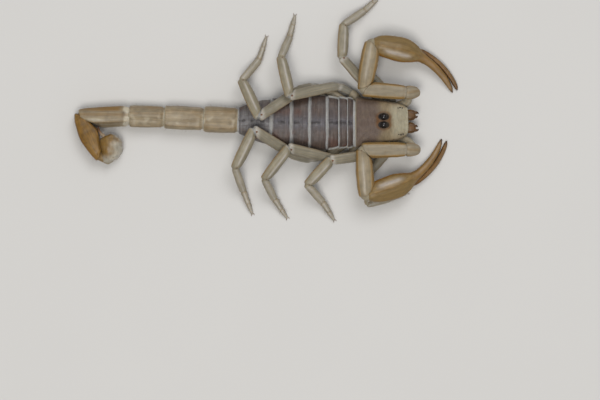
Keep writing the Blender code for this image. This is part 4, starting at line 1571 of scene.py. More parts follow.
@dataclass
class Underside(Part):
    """Breast plate, hip segments of the legs and roots of the pincer limbs.

    plate holds places along the body with the plate's half width and top there. hips holds where the
    root of each pair of hips lies, ahead and aside. The sections are as in Shell.sweep.
    """

    plate: Sequence[Triple] = (
        (4.7, 1.2, 1.4), (6.0, 1.8, 1.55), (9.0, 2.1, 1.65), (11.8, 1.8, 1.45), (12.8, 1.3, 0.98),
    )
    bottom: float = 0.28
    hips: tuple[Pair, ...] = ((11.9, 1.0), (10.2, 0.9), (8.4, 0.9), (7.0, 0.9))
    hip_height: float = 0.95
    hip_sections: Sections = (
        (0, 0.6, 0.6, 0.45), (0.3, 0.86, 0.82, 0.6), (0.9, 0.76, 0.66, 0.58), (1, 0.6, 0.5, 0.5),
    )
    root_sections: Sections = (
        (0, 0.5, 0.5, 0.45), (0.35, 0.7, 0.66, 0.66), (0.75, 0.68, 0.62, 0.62), (1, 0.6, 0.5, 0.5),
    )

    def build(self) -> None:
        """Build every piece under the head."""
        front, rear = self.plate[-1][0], self.plate[0][0]
        level = np.mean([top + self.bottom for _, _, top in self.plate]) / 2
        line = Line([(front, 0.1, level), (rear, 0.0, level)])
        length, low = front - rear, level - self.bottom
        sections = [((front - x) / length, wide, top - level, low) for x, wide, top in self.plate[::-1]]
        plate = Shell.sweep(line, sections, UP, 60, 64, 2.8)
        x, y = plate.points[..., 0], plate.points[..., 1]
        seams = 0.07 * bell(y - 0.05, 0.12) + 0.06 * bell(x - 7.6 - 0.3 * np.abs(y), 0.12)
        plate.push(-seams * ease(plate.upward, 0.0, -0.4))
        self.model.dress("breast_plate", plate, UNDERSIDE, "coxosternum")
        for side in Side:
            for pair, (ahead, aside) in enumerate(self.hips, 1):
                self.build_hip(side, pair, np.array((ahead, side.value * aside, self.hip_height)))
            self.build_palp_root(side)

    def build_hip(self, side: Side, pair: int, root: Array) -> None:
        """Build one hip segment, out to its leg.

        Args:
            side: Which side.
            pair: Which pair of legs.
            root: Where it starts.
        """
        far = self.model.shells[f"leg_{side.word}_{pair}_thigh"].line.points[0]
        line = Line([root, (root + far) / 2 - 0.04 * UP, far + unit(far - root) * 0.05], 0.05)
        hip = Shell.sweep(line, self.hip_sections, UP, 40, 32, 2.4)
        hip.ridge(Ridge((0.05, 0.45), 0.05, 0.1, tint=0.5), Ridge(BELLY, -0.04, 0.12))
        hip.tint("mark", 0.5 * ease(hip.upward, 0.0, 0.6))
        self.model.dress(f"hip_{side.word}_{pair}", hip, UNDERSIDE)
        self.model.coats["body"].grow(hip, ease(hip.upward, 0.3, -0.4), 30, (0.2, 0.45), lean=40.0)

    def build_palp_root(self, side: Side) -> None:
        """Build the root of a pincer limb, up to its first free piece.

        Args:
            side: Which side.
        """
        ring = self.model.shells[f"pincer_{side.word}_root_ring"].line.points
        y = side.value
        points = [(10.9, y * 2.1, 1.2), (13.0, y * 2.75 + 0.15, 1.65), (13.9, y * 3.05 + 0.2, 1.9)]
        line = Line([*points, ring[0] * 0.75 + ring[-1] * 0.25], 0.06)
        root = Shell.sweep(line, self.root_sections, UP, 50, 36, 2.4)
        root.ridge(Ridge(BACK, 0.04, 0.15, tint=0.3))
        self.model.dress(f"pincer_{side.word}_hip", root, UNDERSIDE)


@dataclass
class Combs(Part):
    """The two combs: a jointed bar and a row of teeth. The sections are as in Shell.sweep."""

    root: Triple = (3.45, 0.8, 0.99)
    angle: float = 122.0
    length: float = 3.15
    teeth: int = 11
    bar_sections: Sections = ((0, 0.26, 0.22, 0.22), (0.6, 0.22, 0.2, 0.2), (1, 0.1, 0.1, 0.1))
    tooth_sections: Sections = (
        (0, 0.09, 0.14, 0.14), (0.3, 0.125, 0.17, 0.17), (0.8, 0.12, 0.2, 0.2), (1, 0.05, 0.1, 0.1),
    )

    def build(self) -> None:
        """Build both combs."""
        for side in Side:
            name = f"comb_{side.word}"
            along, back = (heading(side.value * angle) for angle in (self.angle, self.angle + 90))
            root = np.array((1, side.value, 1)) * self.root
            places = ((0, 0.2), (0.5, 0.06), (1, 0.3))
            bar = Line([root + along * share * self.length + back * aside for share, aside in places], 0.08)
            shell = Shell.sweep(bar, self.bar_sections, UP, 60, 24, 2.4)
            for seam in (0.25, 0.5, 0.75):
                shell.push(-0.04 * bell(shell.share - seam, 0.012))
            self.model.dress(f"{name}_bar", shell, COMB, f"pecten_{side.word}")
            teeth = []
            for share in (np.arange(self.teeth) + 0.5) / self.teeth:
                start = root + along * share * self.length + back * 0.28
                far = start + back * 0.88 * (1.0 - 0.42 * share)
                line = Line([start, (start + far) / 2 + along * 0.02, far], 0.05)
                teeth.append(Shell.sweep(line, self.tooth_sections, UP, 14, 16).mesh("comb_tooth", 0.03))
            self.model.show(f"{name}_teeth", joined(f"{name}_teeth", teeth), COMB)


@dataclass
class BackPlates(Part):
    """The seven rings of the abdomen, each with a back plate, a belly plate and a side fold.

    Each tuple holds a value for each ring, from front to rear: its rows, how far its two ends are
    drawn out, its pale bands' widths at the rear and the front, and the width of its blue-grey middle.
    """

    rows: tuple[int, ...] = (26, 34, 44, 60, 60, 62, 84)
    columns: int = 144
    slit_rings: tuple[int, ...] = (3, 4, 5, 6)
    slit_aside: float = 2.1
    reaches: tuple[Pair, ...] = (
        (0.1, 0.12), (0.12, 0.1), (0.1, 0.06), (0.06, 0.06), (0.06, 0.04), (0.04, 0.04), (0.04, 0.1),
    )
    rear_bands: tuple[float, ...] = (-0.1, 0.03, 0.14, 0.17, 0.22, 0.21, 0.08)
    front_bands: tuple[float, ...] = (-0.1, -0.1, 0.02, 0.12, 0.12, 0.16, 0.18)
    middles: tuple[float, ...] = (1.0, 1.0, 1.05, 1.15, 1.25, 1.35, 1.6)

    def build(self) -> None:
        """Build the rings from front to rear."""
        coat = self.model.coats["body"]
        for number, rows in enumerate(self.rows, start=1):
            solid = Solid(f"mesosoma_{number}")
            shell = Shell.wrap(solid, Line.along_body(solid), UP, rows, self.columns, soften=5.0, along=0.05)
            shell.stretch(*self.reaches[number - 1])
            self.shape(shell, number)
            self.colour(shell, number)
            self.model.dress(f"back_plate_{number}", shell, BACK_SHELL, f"mesosoma_{number}", bulge=0.06)
            length = shell.line.length
            top, belly = ease(shell.upward, 0.2, 0.7), ease(shell.upward, -0.2, -0.7)
            chance = top * (0.2 + ease(np.abs(shell.points[..., 1]), 2.0, 3.6)) * ease(shell.run, 0.2, 0.6)
            self.model.granules.scatter(shell, chance, int(26 * length), (0.02, 0.036))
            rear = ease(shell.run, length - 0.5, length - 0.2) + 0.06
            coat.grow(shell, top * rear, int(10 + 5 * length), (0.2, 0.5), lean=60.0)
            coat.grow(shell, belly, int(10 * length) + 6, (0.15, 0.3), lean=72.0)

    def shape(self, shell: Shell, number: int) -> None:
        """Raise the rear lip, tuck the front, and press the side folds and breathing slits.

        Args:
            shell: The ring.
            number: Which ring.
        """
        left = shell.line.length - shell.run
        y = shell.points[..., 1] - shell.points[..., 1].mean(1, keepdims=True)
        form = 0.045 * ease(left, 0.34, 0.12) - 0.06 * ease(shell.run, 0.28, 0.0)
        form = form + 0.035 * bell(y, 0.22) * ease(shell.run, 0.1, 0.5)
        form = form + 0.012 * shell.waves(30 + number, 0.5, (3.0, 0.35, 1.0))
        if number == 7:
            keels = 0.07 * (bell(np.abs(y) - 0.75, 0.14) + bell(np.abs(y) - 1.7, 0.14))
            form = form + keels * ease(shell.run, 1.2, 2.6) * (0.6 + 0.4 * np.cos(shell.run * 2 * pi / 0.34))
        shell.push(form * ease(shell.upward, 0.0, 0.45))
        folds = (((-0.025, 0.525), -0.1, 0.16), ((0.03, 0.47), 0.04, 0.1))
        shell.ridge(*(Ridge(*fold, start=0.0, end=1.0) for fold in folds))
        if number in self.slit_rings:
            shell.push(-0.06 * self.slit(shell))
        shell.keep_above_floor()

    def slit(self, shell: Shell) -> Array:
        """Measure how much of a breathing slit lies at each point of the belly.

        Args:
            shell: The ring.

        Returns:
            Shares from 0 to 1.
        """
        x, aside = shell.points[..., 0], np.abs(shell.points[..., 1]) - self.slit_aside
        lean = x - (x.mean() - 0.1) + 0.35 * aside
        return bell(lean, 0.09) * ease(np.abs(aside), 0.5, 0.36) * ease(shell.upward, -0.3, -0.7)

    def colour(self, shell: Shell, number: int) -> None:
        """Lay the marks: pale bands, blue-grey middle, dashes and red-brown patches.

        Args:
            shell: The ring.
            number: Which ring.
        """
        run, left = shell.run, shell.line.length - shell.run
        y = shell.points[..., 1] - shell.points[..., 1].mean(1, keepdims=True)
        top = ease(shell.upward, -0.05, 0.25)
        wander = shell.waves(40 + number, 0.45, (1.0, 0.6, 1.0))
        rear, front, width = (values[number - 1] for values in (self.rear_bands, self.front_bands, self.middles))
        band = ease(left + 0.03 * wander, rear + 0.1, rear - 0.07)
        band = np.maximum(band, ease(run + 0.03 * wander, front + 0.1, front - 0.07))
        shell.tint("pale", band * top)
        shell.tint("pale", 0.75 * ease(shell.away(0.012, 0.488), 0.22, 0.08))
        shell.tint("pale", 1.0 - top)
        if number == 7:
            shell.tint("pale", 0.3 * top)
        shell.tint("mark", (0.9 * bell(y, width) + 0.12 * wander) * top)
        broad = ease(shell.waves(60 + number, 1.3), 0.1, 0.9)
        shell.tint("rim", top * broad * ease(np.abs(y), 0.7, 1.8) * 0.75)
        edge = ease(left, rear + 0.45, rear + 0.1) + 0.7 * ease(run, front + 0.4, front + 0.1)
        shell.tint("dark", 0.4 * edge * top * (0.7 + 0.3 * wander))
        dash = bell(y + 0.05, 0.23) * ease(shell.waves(80 + number, 0.4, (1.0, 0.2, 0.2)), -0.35, 0.3)
        flecks = ease(shell.waves(90 + number, 0.16, (0.35, 1.6, 1.0)), 0.35, 0.85) * bell(y, width)
        shell.tint("dark", (0.9 * dash + 0.45 * flecks) * top * (1 - band))
        glints = ease(shell.waves(20 + number, 0.2, (0.3, 1.5, 1.0)), 0.45, 1.0) * bell(y, 0.75 * width)
        shell.tint("pale", (0.1 + 0.05 * number) * glints * top)
        if number in self.slit_rings:
            shell.marks["pale"] *= 1 - self.slit(shell)
            shell.tint("dark", self.slit(shell))


@dataclass
class Tail(Part):
    """Five rings, the venom bulb and the sting.

    rolls says how far each ring is turned about its own line, and reaches how far its two ends are
    drawn out. upper, lower and under are the places of its keels.
    """

    rolls: tuple[float, ...] = (0.0, 6.0, 24.0, 68.0, 84.0)
    rows: int = 110
    columns: int = 112
    reaches: tuple[Pair, ...] = ((0.2, 0.16), (0.16, 0.16), (0.16, 0.16), (0.14, 0.45), (1.1, 0.75))
    bulb_heading: float = 108.0
    last: int = 4
    upper: Pair = (0.14, 0.36)
    lower: Pair = (0.865, 0.635)
    under: Pair = (0.72, 0.78)
    sides: Pair = (0.985, 0.515)

    def build(self) -> None:
        """Build the tail from its root to the sting."""
        near = Solid("mesosoma_7").centre
        for k, roll in enumerate(self.rolls):
            solid = Solid(f"metasoma_{k + 1}")
            line = Line.straight(solid, near)
            near = line.points[-1]
            aside = unit(np.cross(UP, unit(line.points[-1] - line.points[0])))
            dorsal = UP * cos(radians(roll)) + aside * sin(radians(roll))
            shell = Shell.wrap(solid, line, dorsal, self.rows, self.columns, soften=7.0, along=0.12, slanted=True)
            shell.stretch(*self.reaches[k])
            if k == self.last:
                self.bend_last(shell)
            self.shape(shell, k)
            self.colour(shell, k)
            finish = TAIL_END if k == self.last else TAIL
            self.model.dress(f"tail_ring_{k + 1}", shell, finish, f"metasoma_{k + 1}")
            self.roughen(shell, k)
        sting_root = self.build_bulb(near)
        self.build_sting(sting_root)

    def bend_last(self, shell: Shell) -> None:
        """Give the last ring a full belly and a narrower start and end.

        Args:
            shell: The ring.
        """
        outer = unit(np.cross(unit(shell.line.points[-1] - shell.line.points[0]), UP))
        facing = np.clip((shell.outward * outer).sum(-1), 0, 1)
        share = shell.share
        swell = 0.34 * bell(share - 0.5, 0.3) - 0.6 * bell(share, 0.2) - 0.2 * bell(share - 1, 0.15)
        shell.move_to(shell.points + (facing * swell)[..., None] * outer).round_off(0.35, 0.0, 0.16)

    def shape(self, shell: Shell, k: int) -> None:
        """Hollow the faces and raise the keels.

        Args:
            shell: The ring.
            k: Which ring, from 0.
        """
        share = shell.share
        ends = ease(share, 0.1, 0.25) * ease(share, 0.97, 0.86)
        faces = -0.045 * np.abs(np.sin(4 * pi * (shell.round - 0.125))) ** 1.5
        shell.push(faces * ends + 0.014 * shell.waves(100 + k, 0.7))
        last = k == self.last
        beads = 0.26 if last else 0.32
        keels = [Ridge(place, 0.07, 0.14, beads, 0.28, drift) for place, drift in zip(self.upper, (0.008, -0.008))]
        keels.append(Ridge(self.lower, 0.07, 0.12, 0.0, 0.5))
        if not last:
            shell.tint("rim", 0.5 * ease(shell.away(0.02, 0.48), 0.45, 0.1))
        keels.append(Ridge(self.under, 0.05, 0.11, beads if last else 0.0, 0.35))
        if k < 3:
            keels.append(Ridge(self.sides, 0.05, 0.11, 0.0, 0.35, end=0.96 - 0.2 * k))
        shell.ridge(*keels)
        hollow = shell.stripe(BACK, 0.45) * ease(share, 0.1, 0.3)
        shell.push(-0.07 * hollow * (0.4 if last else 1.0))
        shell.push(0.04 * bell(share - 0.955, 0.03)).push(-0.03 * bell(share - 0.07, 0.02))
        shell.keep_above_floor()

    def colour(self, shell: Shell, k: int) -> None:
        """Lay a ring's marks.

        Args:
            shell: The ring.
            k: Which ring, from 0.
        """
        share, up = shell.share, shell.upward
        wander, slow = shell.waves(120 + k, 0.6), shell.waves(140 + k, 1.6)
        if k < 3:
            edge = share + 0.01 * wander
            shell.tint("pale", (ease(edge, 0.05, 0.015) + 0.6 * ease(edge, 0.96, 0.985)) * 0.6)
            shell.tint("mark", ease(slow, 0.0, 1.0) * 0.55 + (0.25 if k == 0 else 0.0))
            shell.tint("pale", 0.35 * ease(wander, 0.4, 1.1) * shell.stripe(BACK, 1.1))
            cracks = ease(np.abs(shell.waves(150 + k, 0.35)), 0.05, 0.0)
            shell.tint("dark", cracks * (0.4 if k == 0 else 0.12) * ease(share, 0.7, 0.1))
            shell.tint("pale", 0.3 * ease(up, -0.2, -0.7))
        elif k == 3:
            shell.tint("pale", ease(share + 0.02 * wander, 0.15, 0.09))
            left = shell.points[..., 1] - shell.points[..., 1].mean(1, keepdims=True)
            shell.tint("rim", ease(left, 0.7, 1.2) * ease(share, 0.1, 0.25))
            # Darker lower side: partly its own tone, partly painted shade.
            shell.tint("mark", ease(left, -0.55, -1.1) * 0.3 * ease(share, 0.1, 0.3))
            shell.tint("pale", ease(up, 0.5, 0.0) * ease(left, -0.3, -0.9) * 0.5)
            # Pale streaks along the middle of the top: partly a painted highlight.
            streak = ease(shell.waves(160, 0.35, (0.16, 1.0, 1.0)), 0.1, 0.8)
            shell.tint("pale", 0.5 * streak * ease(np.abs(left), 0.8, 0.5) * ease(up, 0.2, 0.6))
            shell.tint("dark", 0.5 * shell.stripe(0.0, 0.6) * bell(share - 0.12, 0.04))
        else:
            turn = radians(28.0)
            level = np.array(((cos(turn), -sin(turn), 0), (sin(turn), cos(turn), 0), (0, 0, 1.0)))
            streak = ease(pattern(shell.points @ level * (0.14, 1.0, 1.0), 170, 0.3), 0.1, 0.9)
            shell.tint("dark", streak * 0.3)
            shell.tint("mark", ease(slow, 0.0, 0.9) * 0.6)
            shell.tint("rim", shell.stripe(BELLY, 0.9) * ease(share, 0.35, 0.8) * 0.55)
            shell.tint("dark", ease(share, 0.05, 0.0) * 0.5)

    def roughen(self, shell: Shell, k: int) -> None:
        """Stand granules on the keels, and bristles.

        Args:
            shell: The ring.
            k: Which ring, from 0.
        """
        for place in self.upper:
            self.model.granules.along(shell, place, 0.24 if k == self.last else 0.3, 0.038)
        if k == self.last:
            for place in self.under + self.lower:
                self.model.granules.along(shell, place, 0.24, 0.048)
        coat, front = self.model.coats["tail"], k < 3
        spacing, length, tone = (0.62, (0.35, 0.75), 0.25) if front else (0.42, (0.5, 0.95), 0.6)
        for place in (*self.upper, *self.lower, *self.sides, BELLY):
            coat.line_up(shell, place, 0.0, spacing, length, 0.03, 25.0, tone)
        coat.grow(shell, 1, 70 if front else 120, (0.15, 0.4), 0.02, 55.0, 0.2)

    def build_bulb(self, near: Array) -> Array:
        """Build the bulb.

        Args:
            near: Where the last ring ends.

        Returns:
            Where the sting starts.
        """
        solid = Solid("telson")
        roll = radians(self.rolls[-1])
        dorsal = UP * cos(roll) + heading(self.bulb_heading + 90) * sin(roll)
        shell = Shell.wrap(solid, Line.straight(solid, near), dorsal, 90, 96, soften=9.0, along=0.25)
        shell.push(0.02 * shell.waves(181, 0.6) + 0.26 * shell.stripe(BACK, 0.95))
        shell.ridge(Ridge(BELLY, -0.05, 0.12), Ridge((0.6, 0.9), -0.03, 0.2), Ridge(BACK, 0.03, 0.3))
        shell.keep_above_floor()
        away = shell.away(BACK) / (shell.girth[:, None] / 2)
        share, wander = shell.share, shell.waves(182, 0.5)
        shell.tint("mark", ease(away + 0.04 * wander, 0.62, 0.34) * ease(share, 0.05, 0.4))
        shell.tint("mark", 0.75 * ease(share + 0.03 * wander, 0.66, 0.92))
        shell.tint("pale", ease(away, 0.55, 0.9) * ease(wander, -0.4, 0.7) * 0.8)
        shell.tint("dark", 0.35 * ease(shell.waves(183, 0.25), 0.75, 1.2))
        self.model.dress("venom_bulb", shell, BULB, "telson", bulge=0.12)
        self.model.coats["tail"].grow(shell, 1, 260, (0.35, 0.85), 0.024, 40.0, 0.15)
        return shell.line.points[-1]

    def build_sting(self, root: Array) -> None:
        """Build the sting.

        Args:
            root: Where it starts.
        """
        solid = Solid("aculeus")
        sting = Shell.wrap(solid, Line.through(solid, root), UP, 70, 32, soften=14.0, along=0.12)
        sting.narrow(1 - 0.35 * ease(sting.shares, 0.7, 1.0)).ridge(Ridge(0.5, -0.02, 0.06))
        sting.tint("mark", ease(sting.share, 0.2, 0.55)).tint("dark", ease(sting.share, 0.5, 0.85))
        self.model.dress("sting", sting, STING, "aculeus", bulge=0.04)


@dataclass
class PincerLimb(Part):
    """One pincer limb: root ring, upper arm, forearm, hand with its fixed finger, moving finger.

    shoulder, upper_arm_run and forearm_run are the limb's own joints: a point, then headings and
    lengths. hand_heading is where the hand points; it runs straight, then bends inwards. The rows are
    share of the length, half width, and thickness towards the back and the belly. The edges are
    places with their drifts, and the keels are places with heights and widths.
    """

    side: Side
    shoulder: Triple
    upper_arm_run: Pair
    forearm_run: Pair
    hand_heading: float
    rows: int = 110
    columns: int = 96
    elbow_height: float = 4.5
    wrist_height: float = 3.5
    tip_height: float = 0.14
    hand_straight: float = 4.5
    hand_arc: float = 11.3
    hand_turn: float = 55.0
    hand_rows: Sections = (
        (0.0, 0.7, 0.7, 0.7), (0.015, 1.02, 0.95, 0.95), (0.06, 1.5, 1.3, 1.3), (0.14, 1.82, 1.5, 1.5),
        (0.27, 2.0, 1.65, 1.65), (0.35, 1.92, 1.6, 1.6), (0.43, 1.5, 1.3, 1.25), (0.5, 0.87, 0.95, 0.6),
        (0.58, 0.68, 0.7, 0.45), (0.7, 0.6, 0.55, 0.45), (0.86, 0.49, 0.42, 0.4), (0.96, 0.31, 0.3, 0.28),
        (1.0, 0.1, 0.12, 0.12),
    )
    finger_root: Triple = (8.3, 0.46, 0.95)
    finger_length: float = 8.3
    finger_turn: Pair = (16.0, 57.0)
    finger_tip_height: float = 0.2
    finger_closer: float = 0.14
    finger_rows: Sections = (
        (0.0, 0.26, 0.32, 0.4), (0.06, 0.36, 0.42, 0.46), (0.14, 0.38, 0.44, 0.46), (0.5, 0.39, 0.42, 0.42),
        (0.85, 0.34, 0.34, 0.32), (0.96, 0.24, 0.25, 0.22), (1.0, 0.08, 0.1, 0.1),
    )
    arm_edges: tuple[Pair, ...] = ((0.115, 0.0), (0.385, 0.0), (0.88, 0.0), (0.62, 0.0))
    forearm_edges: tuple[Pair, ...] = ((0.11, 0.01), (0.39, -0.01), (0.89, 0.0), (0.61, 0.0))
    hand_keels: tuple[Triple, ...] = (
        (0.25, 0.1, 0.16), (0.44, 0.07, 0.13), (0.06, 0.08, 0.13), (0.62, 0.06, 0.13), (0.88, 0.06, 0.13),
    )

    @property
    def wrist(self) -> Array:
        """Work out where the hand starts.

        Returns:
            The point.
        """
        place = np.array(self.shoulder)
        runs, heights = (self.upper_arm_run, self.forearm_run), (self.elbow_height, self.wrist_height)
        for (angle, length), height in zip(runs, heights):
            rise = height - place[2]
            place = place + heading(angle) * np.sqrt(length**2 - rise**2) + UP * rise
        return place

    def hand_point(self, ahead: float, outward: float, height: float) -> Array:
        """A point of the hand, from the hand's own directions."""
        aside = heading(self.hand_heading + 90 * self.side.value)
        return (self.wrist + heading(self.hand_heading) * ahead + aside * outward) * (1, 1, 0) + UP * height

    def hand_line(self) -> Line:
        """Lay the line of the hand and its fixed finger: straight, then bending inwards.

        Returns:
            The line.
        """
        radius = self.hand_arc / radians(self.hand_turn)
        total = self.hand_straight + self.hand_arc
        points = []
        for distance in np.linspace(0, total, 60):
            turn = max(0.0, distance - self.hand_straight) / radius
            ahead = min(distance, self.hand_straight) + radius * sin(turn)
            height = self.wrist_height + (self.tip_height - self.wrist_height) * distance / total
            points.append(self.hand_point(ahead, -radius * (1 - cos(turn)), height))
        return Line(points, 0.03)

    def finger_line(self) -> Line:
        """Lay the line of the moving finger: an arc beside the fixed finger.

        Returns:
            The line.
        """
        low, high = (radians(angle) for angle in self.finger_turn)
        radius = self.finger_length / (high - low)
        ahead, outward, height = self.finger_root
        outward -= self.finger_closer
        points = []
        for share in np.linspace(0, 1, 40):
            turn = low + (high - low) * share
            aside = outward - radius * (cos(low) - cos(turn))
            level = height + (self.finger_tip_height - height) * share
            points.append(self.hand_point(ahead + radius * (sin(turn) - sin(low)), aside, level))
        return Line(points, 0.02)

    def build(self) -> None:
        """Build the limb from the body outwards."""
        near = np.array((14.5, self.side.value * 2.0, 2.5))
        for part, share, maker in (
            ("trochanter", 0.4, self.root_ring), ("femur", 1.0, self.upper_arm), ("patella", 1.0, self.forearm),
        ):
            solid = Solid(f"pedipalp_{self.side.word}_{part}")
            line = Line.straight(solid, near)
            near = line.points[-1]
            shell = Shell.wrap(
                solid, line, UP, int(self.rows * share), self.columns, soften=9.0, along=0.16, slanted=True,
            )
            maker(shell.stretch(0.2, 0.2).round_off(0.4, 0.4, 0.2))
        self.hand()
        self.finger()

    def show(self, shell: Shell, name: str, part: str, finish: ShellFinish, bulge: float) -> Coat:
        """Show one piece of the limb.

        Args:
            shell: The piece.
            name: End of the piece's name.
            part: End of its node's name.
            finish: Its finish.
            bulge: How far its ends stand out.

        Returns:
            The coat that its bristles belong to.
        """
        word = self.side.word
        self.model.dress(f"pincer_{word}_{name}", shell, finish, f"pedipalp_{word}_{part}", bulge=bulge)
        return self.model.coats["pincers"]

    def root_ring(self, shell: Shell) -> None:
        """Shape and show the trochanter.

        Args:
            shell: The piece.
        """
        shell.ridge(Ridge(BACK, 0.05, 0.2, tint=0.3), Ridge((0.08, 0.42), 0.05, 0.12, tint=0.5))
        shell.push(0.02 * shell.waves(200, 0.6)).tint("mark", 0.7)
        coat = self.show(shell, "root_ring", "trochanter", PALP, 0.08)
        coat.grow(shell, 1, 24, (0.25, 0.5), 0.024, 45.0)

    def line_edges(self, shell: Shell, edges: Sequence[Pair], spacing: float, longest: float) -> None:
        """Stand granules and bristles along the beaded edges of an arm piece.

        Args:
            shell: The piece.
            edges: The edges' places and drifts.
            spacing: Distance between granules.
            longest: The longest bristle.
        """
        for place, drift in edges:
            self.model.granules.along(shell, place, spacing, 0.036, drift)
            self.model.coats["pincers"].line_up(shell, place, drift, 0.6, (0.4, longest), 0.028, 25.0, 0.2)

    def upper_arm(self, shell: Shell) -> None:
        """Shape and show the femur: a flat back between two beaded edges.

        Args:
            shell: The piece.
        """
        ends = ease(shell.share, 0.08, 0.2) * ease(shell.share, 0.95, 0.84)
        shell.push(-0.09 * shell.stripe(BACK, 0.75) * ends + 0.016 * shell.waves(210, 0.7))
        shell.ridge(*(Ridge(place, 0.09, 0.12, 0.26, 0.75, drift) for place, drift in self.arm_edges))
        shell.tint("mark", 0.8 * shell.stripe(BACK, 1.0))
        shell.tint("pale", 0.5 * ease(shell.share, 0.08, 0.0))
        shell.tint("rim", 0.8 * ease(shell.away(0.06, 0.44), 0.5, 0.1))
        coat = self.show(shell, "upper_arm", "femur", PALP, 0.06)
        self.line_edges(shell, self.arm_edges, 0.24, 0.8)
        coat.grow(shell, 1, 90, (0.15, 0.4), 0.022)

    def forearm(self, shell: Shell) -> None:
        """Shape and show the patella: a raised back with a painted highlight along its crest, between golden edges.

        Args:
            shell: The piece.
        """
        shell.push(0.016 * shell.waves(220, 0.8))
        shell.ridge(*(Ridge(place, 0.08, 0.13, 0.28, 0.8, drift) for place, drift in self.forearm_edges))
        crest = BACK + 0.02 * self.side.value
        shell.ridge(Ridge(crest, 0.07, 0.3))
        shell.tint("rim", 0.92 * ease(shell.away(0.04, 0.46), 0.75, 0.15))
        ends = ease(shell.share, 0.1, 0.3) * ease(shell.share, 0.97, 0.8)
        # Pale stripe along the crest: a painted highlight.
        shell.tint("pale", 0.55 * shell.stripe(crest, 0.3) * ends)
        coat = self.show(shell, "forearm", "patella", PALP, 0.06)
        self.line_edges(shell, self.forearm_edges, 0.26, 0.85)
        coat.grow(shell, 1, 110, (0.15, 0.4), 0.022)
        self.model.knuckles.knob(shell, 0.02, 0.2, 0.1, 0.6)

    def hand(self) -> None:
        """Build the hand with its fixed finger."""
        place = self.side.place
        shell = Shell.sweep(self.hand_line(), self.hand_rows, UP, 2 * self.rows, self.columns, ease_rows=0.012)
        share = shell.share
        palm = ease(share, 0.5, 0.4) * ease(share, 0.02, 0.08)
        hollows = 0.13 * shell.stripe(place(0.37), 0.62) + 0.1 * shell.stripe(place(0.145), 0.5)
        shell.push(-hollows * palm + 0.016 * shell.waves(230, 0.9))
        shell.ridge(*(Ridge(place(at), height, width, 0.0, 0.25, end=0.52) for at, height, width in self.hand_keels))
        finger = ease(share, 0.46, 0.56)
        inner_half = ease(-self.side.value * shell.arc_from(place(BACK)), 0.02, -0.16)
        shell.tint("mark", inner_half * 0.95 * (1 - finger) * ease(shell.upward, -0.2, 0.3))
        # Pale stripe on the inner facet: a painted highlight.
        shell.tint("pale", shell.stripe(place(0.175), 0.34) * ease(share, 0.08, 0.17) * ease(share, 0.44, 0.34))
        shell.tint("rim", 0.9 * ease(shell.away(place(0.0)), 1.15, 0.75) * (1 - finger))
        shell.tint("pale", 0.35 * shell.stripe(BACK, 0.25) * finger)
        shell.tint("dark", 0.55 * finger * ease(shell.away(place(0.5)), 0.45, 0.05))
        shell.tint("rim", 0.5 * finger).tint("dark", 0.6 * ease(share, 0.93, 0.99))
        coat = self.show(shell, "hand", "manus", HAND, 0.05)
        for at in (0.265, 0.44, 0.09, 0.62, 0.88):
            coat.line_up(shell, place(at), 0.0, 0.75, (0.45, 0.9), tone=0.25, start=0.05, end=0.5)
        coat.grow(shell, 1 - finger, 190, (0.2, 0.5), 0.024, 50.0, 0.1)
        coat.grow(shell, finger + 0.001, 120, (0.2, 0.45), 0.022, 45.0, 0.25)
        self.model.granules.along(shell, place(0.49), 0.17, 0.042, 0.0, 0.56, 0.97)

    def finger(self) -> None:
        """Build the moving finger, with a dark toothed edge."""
        place = self.side.place
        shell = Shell.sweep(self.finger_line(), self.finger_rows, UP, 120, 40, 2.2, 0.012).stretch(0.8, 0.0)
        shell.ridge(Ridge(place(0.45), 0.04, 0.1, tint=0.4), Ridge(place(0.62), 0.03, 0.1, tint=0.4))
        shell.tint("dark", 0.8 * ease(shell.away(place(0.02)), 0.35, 0.1))
        shell.tint("mark", 0.55 * ease(shell.away(place(0.4)), 0.5, 0.1) * ease(shell.share, 0.1, 0.3))
        shell.tint("rim", 0.8 * ease(shell.share, 0.86, 0.97))
        coat = self.show(shell, "finger", "finger", FINGER, 0.04)
        self.model.granules.along(shell, place(0.02), 0.16, 0.045)
        coat.grow(shell, 0.3 + ease(shell.upward, -0.3, 0.5), 110, (0.2, 0.5), 0.022, 40.0, 0.35)


PINCERS = {
    Side.LEFT: ((13.55, 4.75, 3.4), (175.2, 6.65), (80.3, 7.4), -11.0),
    Side.RIGHT: ((13.6, -4.3, 3.65), (181.3, 6.85), (-85.5, 7.2), 17.0),
}


